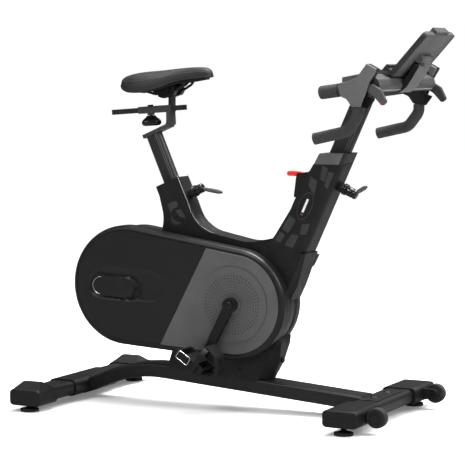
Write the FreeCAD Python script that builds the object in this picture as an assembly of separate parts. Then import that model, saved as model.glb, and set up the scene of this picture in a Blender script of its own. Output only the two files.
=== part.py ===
"""Indoor exercise bike: welded frame, covers, belt drive, seat and handlebar stacks.

Millimetres, +X towards the front wheels, +Y to the rider's left, +Z up.
Stations along X are measured from the rear levelling feet, and every solid is
shifted on export so that the origin lies under the middle of the whole bike.
"""
import FreeCAD, Part
import os
from math import atan2, cos, pi, radians, sin, sqrt, tan

V = FreeCAD.Vector
X_AXIS = V(1, 0, 0)
Y_AXIS = V(0, 1, 0)
Z_AXIS = V(0, 0, 1)

# ---------------------------------------------------------------- base frame
WHEELBASE = 895.0            # rear feet to front feet
REAR_HALF_WIDTH = 318.0      # rear stabiliser, centre to end cap face
FRONT_HALF_WIDTH = 277.0     # front stabiliser, centre to end cap face
TUBE_DEPTH = 80.0            # stabiliser tube, along X
TUBE_HEIGHT = 38.0           # stabiliser tube, along Z
TUBE_CORNER = 14.0
TUBE_WALL = 2.5
FRONT_LIFT = 4.5             # front stabiliser's centre above the rear one's
CAP_SIDE = 7.0               # cap wall before and behind the tube
CAP_SKIN = 3.0               # cap wall above and below the tube
CAP_FIT = 0.2                # cap to tube clearance
REAR_CAP_LENGTH = 94.0
REAR_CAP_ROOF = 20.0         # hipped roof above the rear cap's tube socket
FRONT_CAP_LENGTH = 147.0
CAP_FACE = 8.0               # solid end of a cap beyond the tube
CAP_CORNER = 12.0
CAP_ROUND = 4.0              # rounding round a cap's end face
ROOF_SINK = 3.0              # the rear cap's roof starts this far down its socket's wall
ROOF_EDGE_INSET = 1.5
ROOF_RIDGE = (-26.0, 25.0, 50.0, 38.0)   # ridge: back, ahead, then its two ends from the cap's face
WELD_NUT_WALL = 5.0
WELD_NUT_HEIGHT = 12.0
BRACKET_WALL = 4.0
REAR_BRACKET_HALF = 118.0
FRONT_PLATE_HALF = 85.0
FRONT_PLATE_DEPTH = 54.0
FRONT_PLATE_ROUND = 3.0
PLATE_BOLT_Y = 45.0
PLATE_BOLT_RADIUS = 4.0
PLATE_BOLT_HEAD = (10.0, 8.0, 4.0)       # base radius, top radius, height
CRADLE_FROM = -14.0          # cradle under the beam, along it from its rear end
CRADLE_TO = 84.0
CRADLE_OVER = 2.0            # cradle wider than the beam, each side

BEAM_WIDTH = 80.0
BEAM_HEIGHT = 38.0
BEAM_WALL = 2.5
BEAM_CORNER = 6.0
BEAM_REAR_SLOPE = 21.0       # degrees, climbing from the rear stabiliser
BEAM_FRONT_SLOPE = 4.57      # degrees, falling to the front stabiliser
BEAM_BEND = 365.0            # centre line radius of the hump
BEAM_TAIL = 30.0             # beam runs on this far into the rear stabiliser before it is trimmed
BEAM_RISE = 1.0              # beam's centre line above the rear stabiliser's

FOOT_INSET_REAR = 27.0       # end cap face to foot axis
FOOT_INSET_FRONT = 30.0
FOOT_RADIUS = 25.0
FOOT_PAD = 8.0
FOOT_STEM = 5.0              # stem radius
STEM_CLEARANCE = 0.05
FOOT_STEM_TOP = 52.0
FOOT_ROUND = 1.5
FOOT_CONE = (3.0, 9.0, 4.0)  # cone on the pad: step in from the rim, top radius, height
FOOT_NUT_RADIUS = 8.0
FOOT_NUT_HEIGHT = 3.5
FOOT_NUT_GAP = 1.5           # a foot's nut to the rear cap's underside

WHEEL_RADIUS = 26.0
WHEEL_WIDTH = 22.0
WHEEL_X_AHEAD = 76.0         # wheel axis ahead of the front feet
WHEEL_Z = 44.0
WHEEL_Y = 211.0
WHEEL_BORE = 4.0
AXLE_CLEARANCE = 0.05
WHEEL_SIDE_GAP = 1.0
WHEEL_ARM = 14.0             # arm thickness and end radius
WHEEL_ROUND = 3.0
WHEEL_RIM = 7.0              # rim left round the dished outer face
WHEEL_DISH = 4.0
WHEEL_HUB_WALL = 5.0
WHEEL_BOLT_HEAD = 7.0        # head radius
WHEEL_BOLT_NUT = 5.0

# ------------------------------------------------------------ drive and drum
CRANK_X = 505.0
CRANK_Z = 292.0
FLYWHEEL_X = 179.0
FLYWHEEL_Z = 327.0
CORE_R_FRONT = 143.0         # drum core outline round the crank
CORE_R_REAR = 158.0          # drum core outline round the flywheel
COVER_STEP = 5.5             # the right side cover stands out this far round the core
CORE_HALF = 44.0             # half width of the drum core
DRUM_FACE = 84.0             # right side cover's face, from the centre plane
LEFT_INSET = 42.0            # left side cover is this much smaller all round
LEFT_FACE = 80.0
PANEL_THICK = 3.0
DISC_RADIUS = 101.0
DISC_THICK = 2.5
COVER_WALL = 2.5
COVER_ROUND = 9.0            # rounding round the two side covers' faces
COVER_RIM_WALL = 8.0         # thicker wall round the side covers' rims
PANEL_MARGIN = 9.5           # panel edge inside the side cover's outline
AXLE_HOLE = 17.0             # hole radius round the crank axle
PANEL_LINE_X = 361.0         # where the grey panel's slanted edge crosses PANEL_LINE_Z
PANEL_LINE_Z = 314.0
PANEL_LINE_LEAN = 27.5       # degrees from vertical

BB_RADIUS = 22.0             # crank bearing shell
BB_HALF = 24.0
AXLE_RADIUS = 10.0
BEARING_FIT = 0.05
CRANK_LENGTH = 165.0
CRANK_ANGLE = 207.7          # right arm, degrees clockwise from straight up seen from the right
CRANK_INNER = 93.0           # inner face of an arm, from the centre plane
CRANK_THICK = 14.0
ARM_BOSS = 20.0              # radius of an arm round the axle
ARM_ROOT = 14.5              # half width of an arm beside its boss
ARM_TIP = 11.0               # half width of an arm beside the pedal eye
ARM_EYE = 13.5
ARM_ROUND = 2.5
ARM_CAP_RADIUS = 13.0        # dust cap over the crank bolt
ARM_CAP_HEIGHT = 3.0
AXLE_SHORT = 3.0             # the axle ends this far inside an arm's outer face
DISC_GAP = 2.0               # disc to side cover
DISC_STEP = 20.0             # the left disc is this much smaller
DISC_HUB = 26.0
PULLEY_HUB = 24.0
PULLEY_RIM = 12.0
PULLEY_RADIUS = 95.0
PULLEY_INNER = 29.0
PULLEY_WIDTH = 11.0
SMALL_PULLEY_RADIUS = 22.0
BELT_THICK = 2.2
BELT_WIDTH = 8.5
FLYWHEEL_RADIUS = 124.0
FLYWHEEL_WIDTH = 24.0
FLYWHEEL_SHAFT = 8.5
FLYWHEEL_RIM = 26.0          # width of the thick rim
FLYWHEEL_HUB = 28.0
FLYWHEEL_DISH = 7.0
BELT_FIT = 0.05              # belt to pulley clearance
STAY_THICK = 5.0
STAY_BEARING = 14.0          # outer radius of the flywheel's bearings
STAY_OUTLINE = [(151, 300, 18), (262, 302, 40), (425, 286, 8), (425, 372, 8), (262, 354, 40), (151, 354, 18)]
GUSSET_OUTLINE = [(392, 345, 8), (618, 345, 8), (560, 235, 8), (450, 235, 8)]
GUSSET_NEAR = 8.0            # two gussets, each between these stations off the centre plane
GUSSET_FAR = 14.0
BB_WALL = 6.0
BB_BEARING = 12.0            # bearing length, along the axle
BRAKE_X = 322.0
BRAKE_Z = 336.0
BRAKE_PIN = 4.0
BRAKE_FIT = 0.05
BRAKE_HALF = 13.0            # half width of the magnet holder
BRAKE_BOSS = 9.0
BRAKE_WEB = 20.0
MAGNET_GAP = 8.0
MAGNET_DEPTH = 11.0
MAGNET_ARC = (6.0, 62.0)     # where the holder starts and ends round the flywheel, degrees above level

PEDAL_Y = 156.0
PEDAL_LENGTH = 92.0
PEDAL_WIDTH = 78.0
PEDAL_HEIGHT = 22.0
PEDAL_TILT = {-1: 34.0, 1: 104.0}    # right and left pedal, degrees toe down
STRAP_TOP = 60.0             # top of the toe strap over the spindle axis
SPINDLE_RADIUS = 6.5
SPINDLE_CLEARANCE = 0.08
SPINDLE_BEYOND = 34.0        # spindle reaches this far past the pedal's middle
SPINDLE_COLLAR = 9.0
SPINDLE_COLLAR_LENGTH = 5.0
PEDAL_BORE_BLIND = 36.0      # bore stops this far past the pedal's middle
PEDAL_WINDOW_X = 29.0
PEDAL_WINDOW_HALF = 10.0
PEDAL_RIM = 8.0
CAGE_HALF = 27.0
CAGE_OUTLINE = [(0, -7, 0), (26, 2, 12), (30, 28, 14), (4, 56, 16), (-32, 64, 1), (-32, 61, 1), (3, 53, 13),
                (27, 27, 11), (23, 4, 9), (0, -3, 0)]    # from the pedal's front end
STRAP_GAP = 2.0              # strap to pedal
STRAP_THICK = 2.0
STRAP_TOP_THICK = 3.0
STRAP_FROM = 14.0            # strap's rear and front edges, ahead of the spindle
STRAP_TO = 28.0
STRAP_ROUND = 26.0

# ---------------------------------------------------------------- seat stack
SEAT_LEAN = -23.4            # degrees from vertical, leaning back
SEAT_X = 278.6               # a point on the seat tube's axis
SEAT_Z = 614.0
POST_DEPTH = 45.0            # seat post, along its long side
POST_WIDTH = 28.0
POST_WALL = 2.0
BUSH_WALL = 1.5
POST_FIT = 0.3              # post to bush clearance, each side
TUBE_SKIN = 1.5
TUBE_CORNER_POST = 14.0      # corner radius of the seat and mast tubes
TUBE_FOOT = 620.0            # tubes run this far down their axes, then stop on the beam
MAST_TUBE_EXTRA = 230.0      # the mast tube starts this much further down
POST_CORNER = 12.0
SEAT_BUSH = 36.0             # bush lengths
MAST_BUSH = 40.0
BUSH_COLLAR = (56.0, 50.0, 20.0, 4.0)    # seat bush's collar: depth, width, corner, height
SEAT_TUBE_TOP = -8.0         # along the axis from the point above
SEAT_POST_TOP = 132.0
SEAT_POST_BELOW = 230.0
SEAT_PIN_AT = -56.0          # pull pin's station along the axis
PIN_RADIUS_PULL = 4.0
PIN_CLEARANCE = 0.06
PIN_GAP = 0.4                # pin tip to post, and knob to collar
COLLAR_RADIUS = 13.0
COLLAR_FIT = 0.3
SEAT_COLLAR_END = 51.0       # collar's outer face, from the seat tube's axis
MAST_COLLAR_END = 48.0
HEAD_PLATE = 10.0
HEAD_PLATE_BACK = 26.5
HEAD_PLATE_AHEAD = 58.0
HEAD_PLATE_HALF = 18.0
NECK_X = 277.0
NECK_WIDTH = 32.0
SLIDER_TILT = 4.2            # degrees, nose up
SLEEVE_BACK = 93.0           # sleeve reaches this far behind the neck
SLEEVE_AHEAD = 8.0
SLEEVE_WALL = 2.2
SLEEVE_Z = 807.8             # sleeve centre above the neck
BAR_FIT = 0.4
BAR_BACK = 177.0             # slider bar behind the neck
BAR_AHEAD = 43.0             # slider bar ahead of the neck
BAR_WIDTH = 24.0
BAR_HEIGHT = 14.0
PIN_RADIUS = 10.0
CLAMP_Z = 862.0
SLIDER_KNOB_BACK = 62.0      # knob axis behind the neck axis
KNOB_STUD = 4.0
STUD_CLEARANCE = 0.06
KNOB_CORE = (19.0, 13.0, 20.0)           # slider knob's core: lower radius, upper radius, height
KNOB_LOBE = 13.0
KNOB_LOBE_OUT = 14.0
SADDLE_PIN_X = 4.0           # saddle pin ahead of the neck
SLOT_LENGTH = 42.0           # how far the saddle can slide back
CLAMP_BOLT = 5.0
CLAMP_FIT = 0.05
CLAMP_EYE = 12.0
CLAMP_EYE_HALF = 11.5
CHEEK_NEAR = 12.2
CHEEK_FAR = 29.0
CLAMP_OUTLINE = [(-34, -6, 6), (-27, -23, 8), (-12, -27, 6), (19, -17, 8), (25, -6, 6), (22, 10, 6), (-20, 12, 6)]
SADDLE_REAR = 143.0
SADDLE_NOSE = 402.0
SADDLE_HALF = 76.0
RAIL_RADIUS = 3.5
RAIL_HALF_GAP = 22.0
RAIL_BEND = 14.0
# rail corners: X, share of RAIL_HALF_GAP, Z
RAIL_PATH = [(350, 0.5, 893), (332, 0.75, 872), (308, 1, 859), (243, 1, 846), (215, 1, 853), (186, 1, 872)]
PAD_THICK = 14.0
SHELL_THICK = 5.0
SHELL_INSET = 6.0
SHELL_GAP = 1.0
SHELL_DROP = 1.5
# saddle stations: X, half width, crown height, rim height
SADDLE_STATIONS = [(SADDLE_REAR, 34, 893, 878), (160, 58, 903, 866), (195, SADDLE_HALF, 909, 852),
                   (235, 74, 911, 850), (275, 52, 913, 862), (315, 35, 917, 876), (355, 27, 920, 882),
                   (388, 21, 916, 887), (SADDLE_NOSE, 11, 905, 892)]

# ----------------------------------------------------------- handlebar stack
MAST_LEAN = 24.4             # degrees from vertical, leaning forward
MAST_X = 837.8               # a point on the mast's axis
MAST_Z = 828.0
BAR_POST_DEPTH = 54.0
BAR_POST_WIDTH = 28.0
MAST_TUBE_TOP = -165.0
MAST_PIN_AT = -225.0
BAR_POST_BELOW = 345.0
BAR_POST_ABOVE = 62.0
STEM_TILT = 10.7
STEM_WIDTH = 40.0
STEM_HEIGHT = 30.0
STEM_BACK = 790.0            # stem's rear and front ends
STEM_FRONT = 930.0
STEM_LOW = 864.0             # its underside at the rear end
GRIP_RADIUS = 15.0
UPPER_GRIP_RADIUS = 17.0
DROP_GRIP_TOP = 821.0        # the drop's sleeve ends just under the hood
DROP_BEND = 34.0
DROP_RADIUS = 11.5
DROP_PATH = [(803, 742.5), (885, 761), (915, 800), (915, 868)]
TOP_PATH = [(818, 858), (884, 867), (926, 886)]
TOP_BEND = 30.0
UPPER_GRIP_LENGTH = 52.0
UPPER_GRIP_START = (812.0, 857.2)
LOWER_GRIP_START = (797.0, 741.2)
HOOD_Y = 213.0
HOOD_HALF = 15.0
HOOD_ROUND = 3.0
HOOD = [(943, 931, 3), (970, 917, 3), (950, 884, 10), (939, 853, 10), (926, 822, 2), (903, 823, 2), (889, 842, 14),
        (872, 849, 3), (866, 882, 5), (888, 885, 24), (916, 896, 20)]
HOOD_BLOCK = [(932, 850, 2), (957, 843, 3), (938, 818, 3), (922, 824, 2)]
HOOD_SLOT_HALF = 6.5
HOOD_PIN = 2.5
HOOD_PIN_FIT = 0.05
LEVER_PIVOT_X = 940.0
LEVER_PIVOT_Z = 868.0
HOOD_LEVER_HALF = 6.0
HOOD_LEVER = [(936, 864, 3), (942, 876, 5), (953, 881, 4), (978, 866, 10), (993, 836, 6), (981, 825, 6),
              (958, 850, 6)]
WING = [(908, 884, 8), (913, 901, 8), (926, 907, 6), (938, 904, 8), (962, 892, 10), (968, 872, 10), (952, 858, 10),
        (920, 862, 8)]
WING_SHORT = 14.0            # the wing stops this far inside the hoods' middles
WING_PIN = 9.0
# curved plate that carries the tablet's hinge
BAR_COVER = [(938, 856, 2), (957, 856, 8), (976, 869, 20), (996, 899, 80), (1012, 925, 3), (1000, 931, 3),
             (985, 909, 60), (968, 886, 20), (950, 872, 2)]
BAR_COVER_HALF = 41.0
TABLET_TILT = 48.0           # degrees from level
TABLET_WIDTH = 206.0
TABLET_LENGTH = 133.0
TABLET_THICK = 13.0
TABLET_ROUND = 12.0
LEDGE_OUT = 26.0             # ledge under the tablet, towards the rider
LEDGE_THICK = 8.0
LIP_THICK = 7.0
LIP_LOW = 12.0
LIP_HIGH = 6.0
PLATE_X = 963.0              # lower end of the tablet plate
PLATE_Z = 908.0
HINGE_X = 1011.0
HINGE_Z = 941.0
HINGE_RADIUS = 9.5
HINGE_PIN = 4.0
HINGE_FIT = 0.05
HINGE_MID = 24.0             # half length of the cover's knuckle
HINGE_SIDE = 24.4            # the holder's knuckles, from here
HINGE_END = 42.0             # to here
HINGE_WEB = 8.0              # half depth of the web under the cover's knuckle
HINGE_SWEEP = 0.6            # holder to the cover's knuckle
CLIP_ROD = 2.5
CLIP_ROD_FIT = 0.06
CLIP_ROD_Y = 30.0
CLIP_ROD_DOWN = 58.0
CLIP_TOP = 8.0
CLIP_REAR = 5.0
CLIP_HALF = 44.0
CLIP_OUT = 6.0               # clip stands this far out over the tablet's face
CLIP_LIP = 9.0
CLIP_GAP = 0.4

KNOB_RADIUS = 13.0           # turned body of a pull pin
KNOB_RING = 16.0
HANDLE_RADIUS = 6.0          # its L shaped handle
SEAT_KNOB = (82.0, 128.0, -33.0)         # body's end, then the handle's tip along and across the pin
MAST_KNOB = (88.0, 103.0, 32.0)

# -------------------------------------------------------------------- covers
MAST_HALF = 46.0             # mast cover half width
SEAT_COVER_HALF = 32.0
PYLON_HALF = 40.0
BAND_HALF = 36.0
COVER_GAP = 0.2              # mast tube to the inside of its cover
MAST_ROUND = 20.0
MAST_BELLY = 432.0           # below this height the cover's front swells out
CAP_SEAM = 668.0             # where the mast cover ends and its cap begins
CAP_TOP = 697.0
CAP_REAR = 722.0             # the cap's rear lower edge
CAP_LEAN = 0.55              # how far its rear leans forward, as a share of its height
CAP_WALL = 3.0
SCRAP = 2000.0               # slivers left by the cuts are smaller than this
INLET_RADIUS = 8.0
INLET_BORE = 4.5
INLET_Z = 140.0
INLET_FROM = 596.0
INLET_TO = 617.0
LEVER_X = 684.0              # brake lever pivot
LEVER_Z = 633.0
LEVER_HALF = 9.0
LEVER_HUB = 7.0
LEVER_PIN = 3.0
LEVER_FIT = 0.05
COWL_HALF = 20.0
COWL_WALL = 3.0              # space beside the lever
SCREW_HEAD = 4.0
SCREW_SHANK = 1.8
SCREW_SPOTS = [(504, 112, PYLON_HALF), (590, 446, MAST_HALF), (659, 545, MAST_HALF)]
BADGE_X = 142.0
BADGE_Z = 322.0
BADGE_HALF = 39.0
BADGE_RADIUS = {-1: 26.0, 1: 18.0}
BADGE_THICK = 1.6
BADGE_TURN = 2.5             # degrees, along the casing's slope
FAR = 1400.0                 # beyond every solid
QUADRANTS = ((-1, -1), (1, -1), (1, 1), (-1, 1))
# outline corners: X, Z, rounding
SEAT_COVER = [(243, 605, 14), (258, 571, 30), (272, 515, 90), (266, 470, 40), (300, 380, 20), (440, 380, 20),
              (470, 420, 10), (452, 467, 5), (404, 480, 60), (366, 508, 60), (346, 553, 120), (309, 633, 4)]
BAND = [(366, 500, 10), (404, 479, 60), (530, 453, 120), (606, 470, 30), (650, 430, 20), (600, 380, 20),
        (440, 380, 20), (380, 440, 20)]
MAST_COVER = [(726, 676, 1), (705, 642, 40), (667, 573, 60), (656, 548, 60), (606, 470, 70), (566, 440, 20),
              (560, 300, 20), (620, 270, 20), (650, 306, 60), (668, 341, 60), (678, 370, 90), (696, 429, 90),
              (808, 676, 1)]
PYLON_COVER = [(299, 145, 40), (284, 100, 4), (584, 74, 4), (590, 92, 8), (610, 131, 60), (623, 187, 40),
               (605, 260, 20), (320, 260, 20)]
COWL = [(712, 660, 2), (694, 645, 6), (662, 642, 3), (659, 627, 3), (653, 578, 3), (690, 578, 2)]
COWL_POCKET = [(700, 680, 0), (640, 680, 0), (640, 629, 0), (663, 629, 2), (659, 590, 2), (690, 590, 2),
               (720, 660, 2)]
LEVER_BLADE = [(628, 634, 5), (656, 633, 0), (684, 627, 0), (684, 639, 0), (660, 645, 5), (629, 646, 5)]

# -------------------------------------------------------- sizes worked out
FRONT_X = WHEELBASE
# heights of the stabilisers' centres: pad, cone, nut and gap, then the cap's skin and half the tube
REAR_TUBE_Z = FOOT_PAD + FOOT_CONE[2] + FOOT_NUT_HEIGHT + FOOT_NUT_GAP + CAP_SKIN + TUBE_HEIGHT / 2
FRONT_TUBE_Z = REAR_TUBE_Z + FRONT_LIFT
WHEEL_X = FRONT_X + WHEEL_X_AHEAD
TUBE_HALF = POST_WIDTH / 2 + POST_FIT + BUSH_WALL + TUBE_SKIN    # seat and mast tubes, across the bike
SEAT_TUBE_HALF = POST_DEPTH / 2 + POST_FIT + BUSH_WALL + TUBE_SKIN
MAST_TUBE_HALF = BAR_POST_DEPTH / 2 + POST_FIT + BUSH_WALL + TUBE_SKIN
MAST_FRONT = MAST_TUBE_HALF + COVER_GAP + COVER_WALL             # mast cover's front face, from the mast axis
SLEEVE_HIGH = BAR_HEIGHT / 2 + BAR_FIT + SLEEVE_WALL
SLEEVE_WIDE = BAR_WIDTH / 2 + BAR_FIT + SLEEVE_WALL
TILT_COS = cos(radians(TABLET_TILT))
TILT_SIN = sin(radians(TABLET_TILT))
HINGE_AT_T = (HINGE_X - PLATE_X) * TILT_COS + (HINGE_Z - PLATE_Z) * TILT_SIN
HINGE_AT_N = (HINGE_X - PLATE_X) * TILT_SIN - (HINGE_Z - PLATE_Z) * TILT_COS
# The tablet clip's corner is furthest forward, and the rear end caps are furthest back.
FRONT_REACH = PLATE_X + (TABLET_LENGTH + CLIP_TOP) * TILT_COS + CLIP_REAR * TILT_SIN
REAR_REACH = -TUBE_DEPTH / 2 - CAP_SIDE
MIDDLE_X = (FRONT_REACH + REAR_REACH) / 2


# ------------------------------------------------------------------- helpers
def corner_wire(corners, plane="xz"):
    """Closed wire through (u, v, radius) corners, each rounded by an arc."""
    points = [V(u, v, 0) for u, v, _ in corners]
    count = len(corners)
    edges = []
    starts = []
    ends = []
    middles = []
    for i in range(count):
        here = points[i]
        back = (points[i - 1] - here).normalize()
        ahead = (points[(i + 1) % count] - here).normalize()
        radius = corners[i][2]
        half = back.getAngle(ahead) / 2
        if radius <= 0 or abs(half - pi / 2) < 1e-6:
            starts.append(here)
            ends.append(here)
            middles.append(None)
            continue
        reach = radius / tan(half)
        inward = (back + ahead).normalize()
        starts.append(here + back * reach)
        ends.append(here + ahead * reach)
        middles.append(here + inward * (radius / sin(half) - radius))
    for i in range(count):
        if middles[i] is not None:
            edges.append(Part.Arc(starts[i], middles[i], ends[i]).toShape())
        gap = starts[(i + 1) % count] - ends[i]
        if gap.Length > 1e-6:
            edges.append(Part.makeLine(ends[i], starts[(i + 1) % count]))
    wire = Part.Wire(edges)
    if plane == "xz":
        wire = wire.copy()
        wire.rotate(V(0, 0, 0), X_AXIS, 90)
    return wire


def inset(wire, distance):
    """The same outline moved inwards by a distance."""
    if distance == 0:
        return wire
    return wire.makeOffset2D(-distance)


def slab(wire, y_from, y_to):
    """Extrude an XZ outline between two stations along Y."""
    face = Part.Face(wire)
    face.translate(V(0, y_from, 0))
    return face.extrude(V(0, y_to - y_from, 0))


def box(x_from, x_to, y_from, y_to, z_from, z_to):
    return Part.makeBox(x_to - x_from, y_to - y_from, z_to - z_from, V(x_from, y_from, z_from))


def oval_prism(depth, width, corner, length):
    """Rounded rectangular bar along +Z from the origin, depth along X."""
    corners = [(sx * depth / 2, sy * width / 2, corner) for sx, sy in QUADRANTS]
    return Part.Face(corner_wire(corners, "xy")).extrude(V(0, 0, length))


def lean(shape, x, z, angle):
    """Tip a shape built along +Z about Y, then move it to a station in the centre plane."""
    moved = shape.copy()
    moved.rotate(V(0, 0, 0), Y_AXIS, angle)
    moved.translate(V(x, 0, z))
    return moved


def rod_y(radius, x, z, y_from, y_to):
    return Part.makeCylinder(radius, y_to - y_from, V(x, y_from, z), Y_AXIS)


def mirrored(shape):
    return shape.mirror(V(0, 0, 0), Y_AXIS)


def fuse(shapes):
    result = shapes[0]
    if len(shapes) > 1:
        result = result.multiFuse(shapes[1:])
    return result.removeSplitter()


def cut(shape, tools):
    result = shape.cut(tools) if isinstance(tools, list) else shape.cut([tools])
    return result.removeSplitter()


def capsule_wire(front_radius, rear_radius):
    """Tapered capsule outline round the crank axis and the flywheel axis."""
    dx = FLYWHEEL_X - CRANK_X
    dz = FLYWHEEL_Z - CRANK_Z
    span = sqrt(dx * dx + dz * dz)
    along = atan2(dz, dx)
    swing = pi / 2 + atan2(rear_radius - front_radius, sqrt(span ** 2 - (rear_radius - front_radius) ** 2))

    def on_circle(x, z, radius, angle):
        return V(x + radius * cos(angle), 0, z + radius * sin(angle))

    front_low = on_circle(CRANK_X, CRANK_Z, front_radius, along + swing)
    front_mid = on_circle(CRANK_X, CRANK_Z, front_radius, along + pi)
    front_top = on_circle(CRANK_X, CRANK_Z, front_radius, along - swing)
    rear_top = on_circle(FLYWHEEL_X, FLYWHEEL_Z, rear_radius, along - swing)
    rear_mid = on_circle(FLYWHEEL_X, FLYWHEEL_Z, rear_radius, along)
    rear_low = on_circle(FLYWHEEL_X, FLYWHEEL_Z, rear_radius, along + swing)
    return Part.Wire([
        Part.Arc(front_low, front_mid, front_top).toShape(),
        Part.makeLine(front_top, rear_top),
        Part.Arc(rear_top, rear_mid, rear_low).toShape(),
        Part.makeLine(rear_low, front_low),
    ])


def rect(x_from, x_to, z_from, z_to, radius):
    return corner_wire([(x_from, z_from, radius), (x_to, z_from, radius), (x_to, z_to, radius),
                        (x_from, z_to, radius)])


def oval_bar(depth, width, corner, low, high, ahead=0):
    """Rounded rectangular bar along Z between two stations, offset along X."""
    bar = oval_prism(depth, width, corner, high - low)
    bar.translate(V(ahead, 0, low))
    return bar


def on_seat_axis(shape):
    return lean(shape, SEAT_X, SEAT_Z, SEAT_LEAN)


def on_mast_axis(shape):
    return lean(shape, MAST_X, MAST_Z, MAST_LEAN)


def on_slider(shape):
    return lean(shape, NECK_X, SLEEVE_Z, -SLIDER_TILT)


def both_sides(make):
    """A piece and its mirror image, as separate solids."""
    piece = make()
    return Part.makeCompound([piece, mirrored(piece)])


def rod_x(radius, x_from, x_to, y=0, z=0):
    return Part.makeCylinder(radius, x_to - x_from, V(x_from, y, z), X_AXIS)


def rod_z(radius, x, y, z_from, z_to):
    return Part.makeCylinder(radius, z_to - z_from, V(x, y, z_from), Z_AXIS)


def round_bar(path_points, radius, bend):
    """Round bar along a path of straight runs joined by rounded bends."""
    corners = [V(*p) for p in path_points]
    edges = []
    start = corners[0]
    for i in range(1, len(corners) - 1):
        back = (corners[i - 1] - corners[i]).normalize()
        ahead = (corners[i + 1] - corners[i]).normalize()
        half = back.getAngle(ahead) / 2
        reach = bend / tan(half)
        inward = (back + ahead).normalize()
        enter = corners[i] + back * reach
        leave = corners[i] + ahead * reach
        edges.append(Part.makeLine(start, enter))
        edges.append(Part.Arc(enter, corners[i] + inward * (bend / sin(half) - bend), leave).toShape())
        start = leave
    edges.append(Part.makeLine(start, corners[-1]))
    heading = (corners[1] - corners[0]).normalize()
    ring = Part.Wire(Part.makeCircle(radius, corners[0], heading))
    return Part.Wire(edges).makePipeShell([ring], True, False)


def fillet_some(solid, radius, wanted):
    edges = [e for e in solid.Edges if wanted(e)]
    return solid.makeFillet(radius, edges) if edges and radius > 0 else solid


# ---------------------------------------------------------------- base frame
def stabiliser_outer(x, z, half):
    return slab(rect(x - TUBE_DEPTH / 2, x + TUBE_DEPTH / 2, z - TUBE_HEIGHT / 2, z + TUBE_HEIGHT / 2, TUBE_CORNER),
                -half, half)


def stabiliser(x, z, half, foot_y):
    inner = slab(rect(x - TUBE_DEPTH / 2 + TUBE_WALL, x + TUBE_DEPTH / 2 - TUBE_WALL,
                      z - TUBE_HEIGHT / 2 + TUBE_WALL, z + TUBE_HEIGHT / 2 - TUBE_WALL, TUBE_CORNER - TUBE_WALL),
                 -half, half)
    tube = stabiliser_outer(x, z, half).cut(inner)
    floor = z - TUBE_HEIGHT / 2
    nuts = [rod_z(FOOT_STEM + WELD_NUT_WALL, x, s * foot_y, floor, floor + TUBE_WALL + WELD_NUT_HEIGHT)
            for s in (-1, 1)]
    holes = [rod_z(FOOT_STEM + STEM_CLEARANCE, x, s * foot_y, 0, z) for s in (-1, 1)]
    return cut(fuse([tube] + nuts), holes)


def rear_tube():
    return stabiliser(0, REAR_TUBE_Z, REAR_HALF_WIDTH - CAP_FACE, REAR_HALF_WIDTH - FOOT_INSET_REAR)


def front_tube():
    return stabiliser(FRONT_X, FRONT_TUBE_Z, FRONT_HALF_WIDTH - CAP_FACE, FRONT_HALF_WIDTH - FOOT_INSET_FRONT)


def cap_sleeve(x, z, side, y_in, y_out):
    """Plastic cap with a socket for the tube, closed at its outer end."""
    body = slab(rect(x - TUBE_DEPTH / 2 - side, x + TUBE_DEPTH / 2 + side,
                     z - TUBE_HEIGHT / 2 - CAP_SKIN, z + TUBE_HEIGHT / 2 + CAP_SKIN, CAP_CORNER), y_in, y_out)
    return fillet_some(body, CAP_ROUND, lambda e: e.BoundBox.YMin > y_out - 1e-3)


def cap_socket(x, z, y_in, y_out):
    grow = CAP_FIT
    return slab(rect(x - TUBE_DEPTH / 2 - grow, x + TUBE_DEPTH / 2 + grow,
                     z - TUBE_HEIGHT / 2 - grow, z + TUBE_HEIGHT / 2 + grow, TUBE_CORNER + grow),
                y_in - 1, y_out - CAP_FACE)


def level_rectangle(x_from, x_to, y_from, y_to, z):
    corners = [(x_from, y_from), (x_to, y_from), (x_to, y_to), (x_from, y_to), (x_from, y_from)]
    return Part.makePolygon([V(x, y, z) for x, y in corners])


def rear_cap():
    y_out = REAR_HALF_WIDTH
    y_in = y_out - REAR_CAP_LENGTH
    body = cap_sleeve(0, REAR_TUBE_Z, CAP_SIDE, y_in, y_out)
    shoulder = REAR_TUBE_Z + TUBE_HEIGHT / 2 - ROOF_SINK
    ridge = shoulder + ROOF_SINK + REAR_CAP_ROOF
    edge = TUBE_DEPTH / 2 + CAP_SIDE - ROOF_EDGE_INSET
    back, ahead, inner, outer = ROOF_RIDGE
    base = level_rectangle(-edge, edge, y_in + 1, y_out - 2, shoulder)
    top = level_rectangle(back, ahead, y_out - inner, y_out - outer, ridge)
    roof = Part.makeLoft([base, top], True, True)
    hole = rod_z(FOOT_STEM + STEM_CLEARANCE, 0, y_out - FOOT_INSET_REAR, 0, REAR_TUBE_Z)
    return cut(fuse([body, roof]), [cap_socket(0, REAR_TUBE_Z, y_in, y_out), hole])


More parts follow.
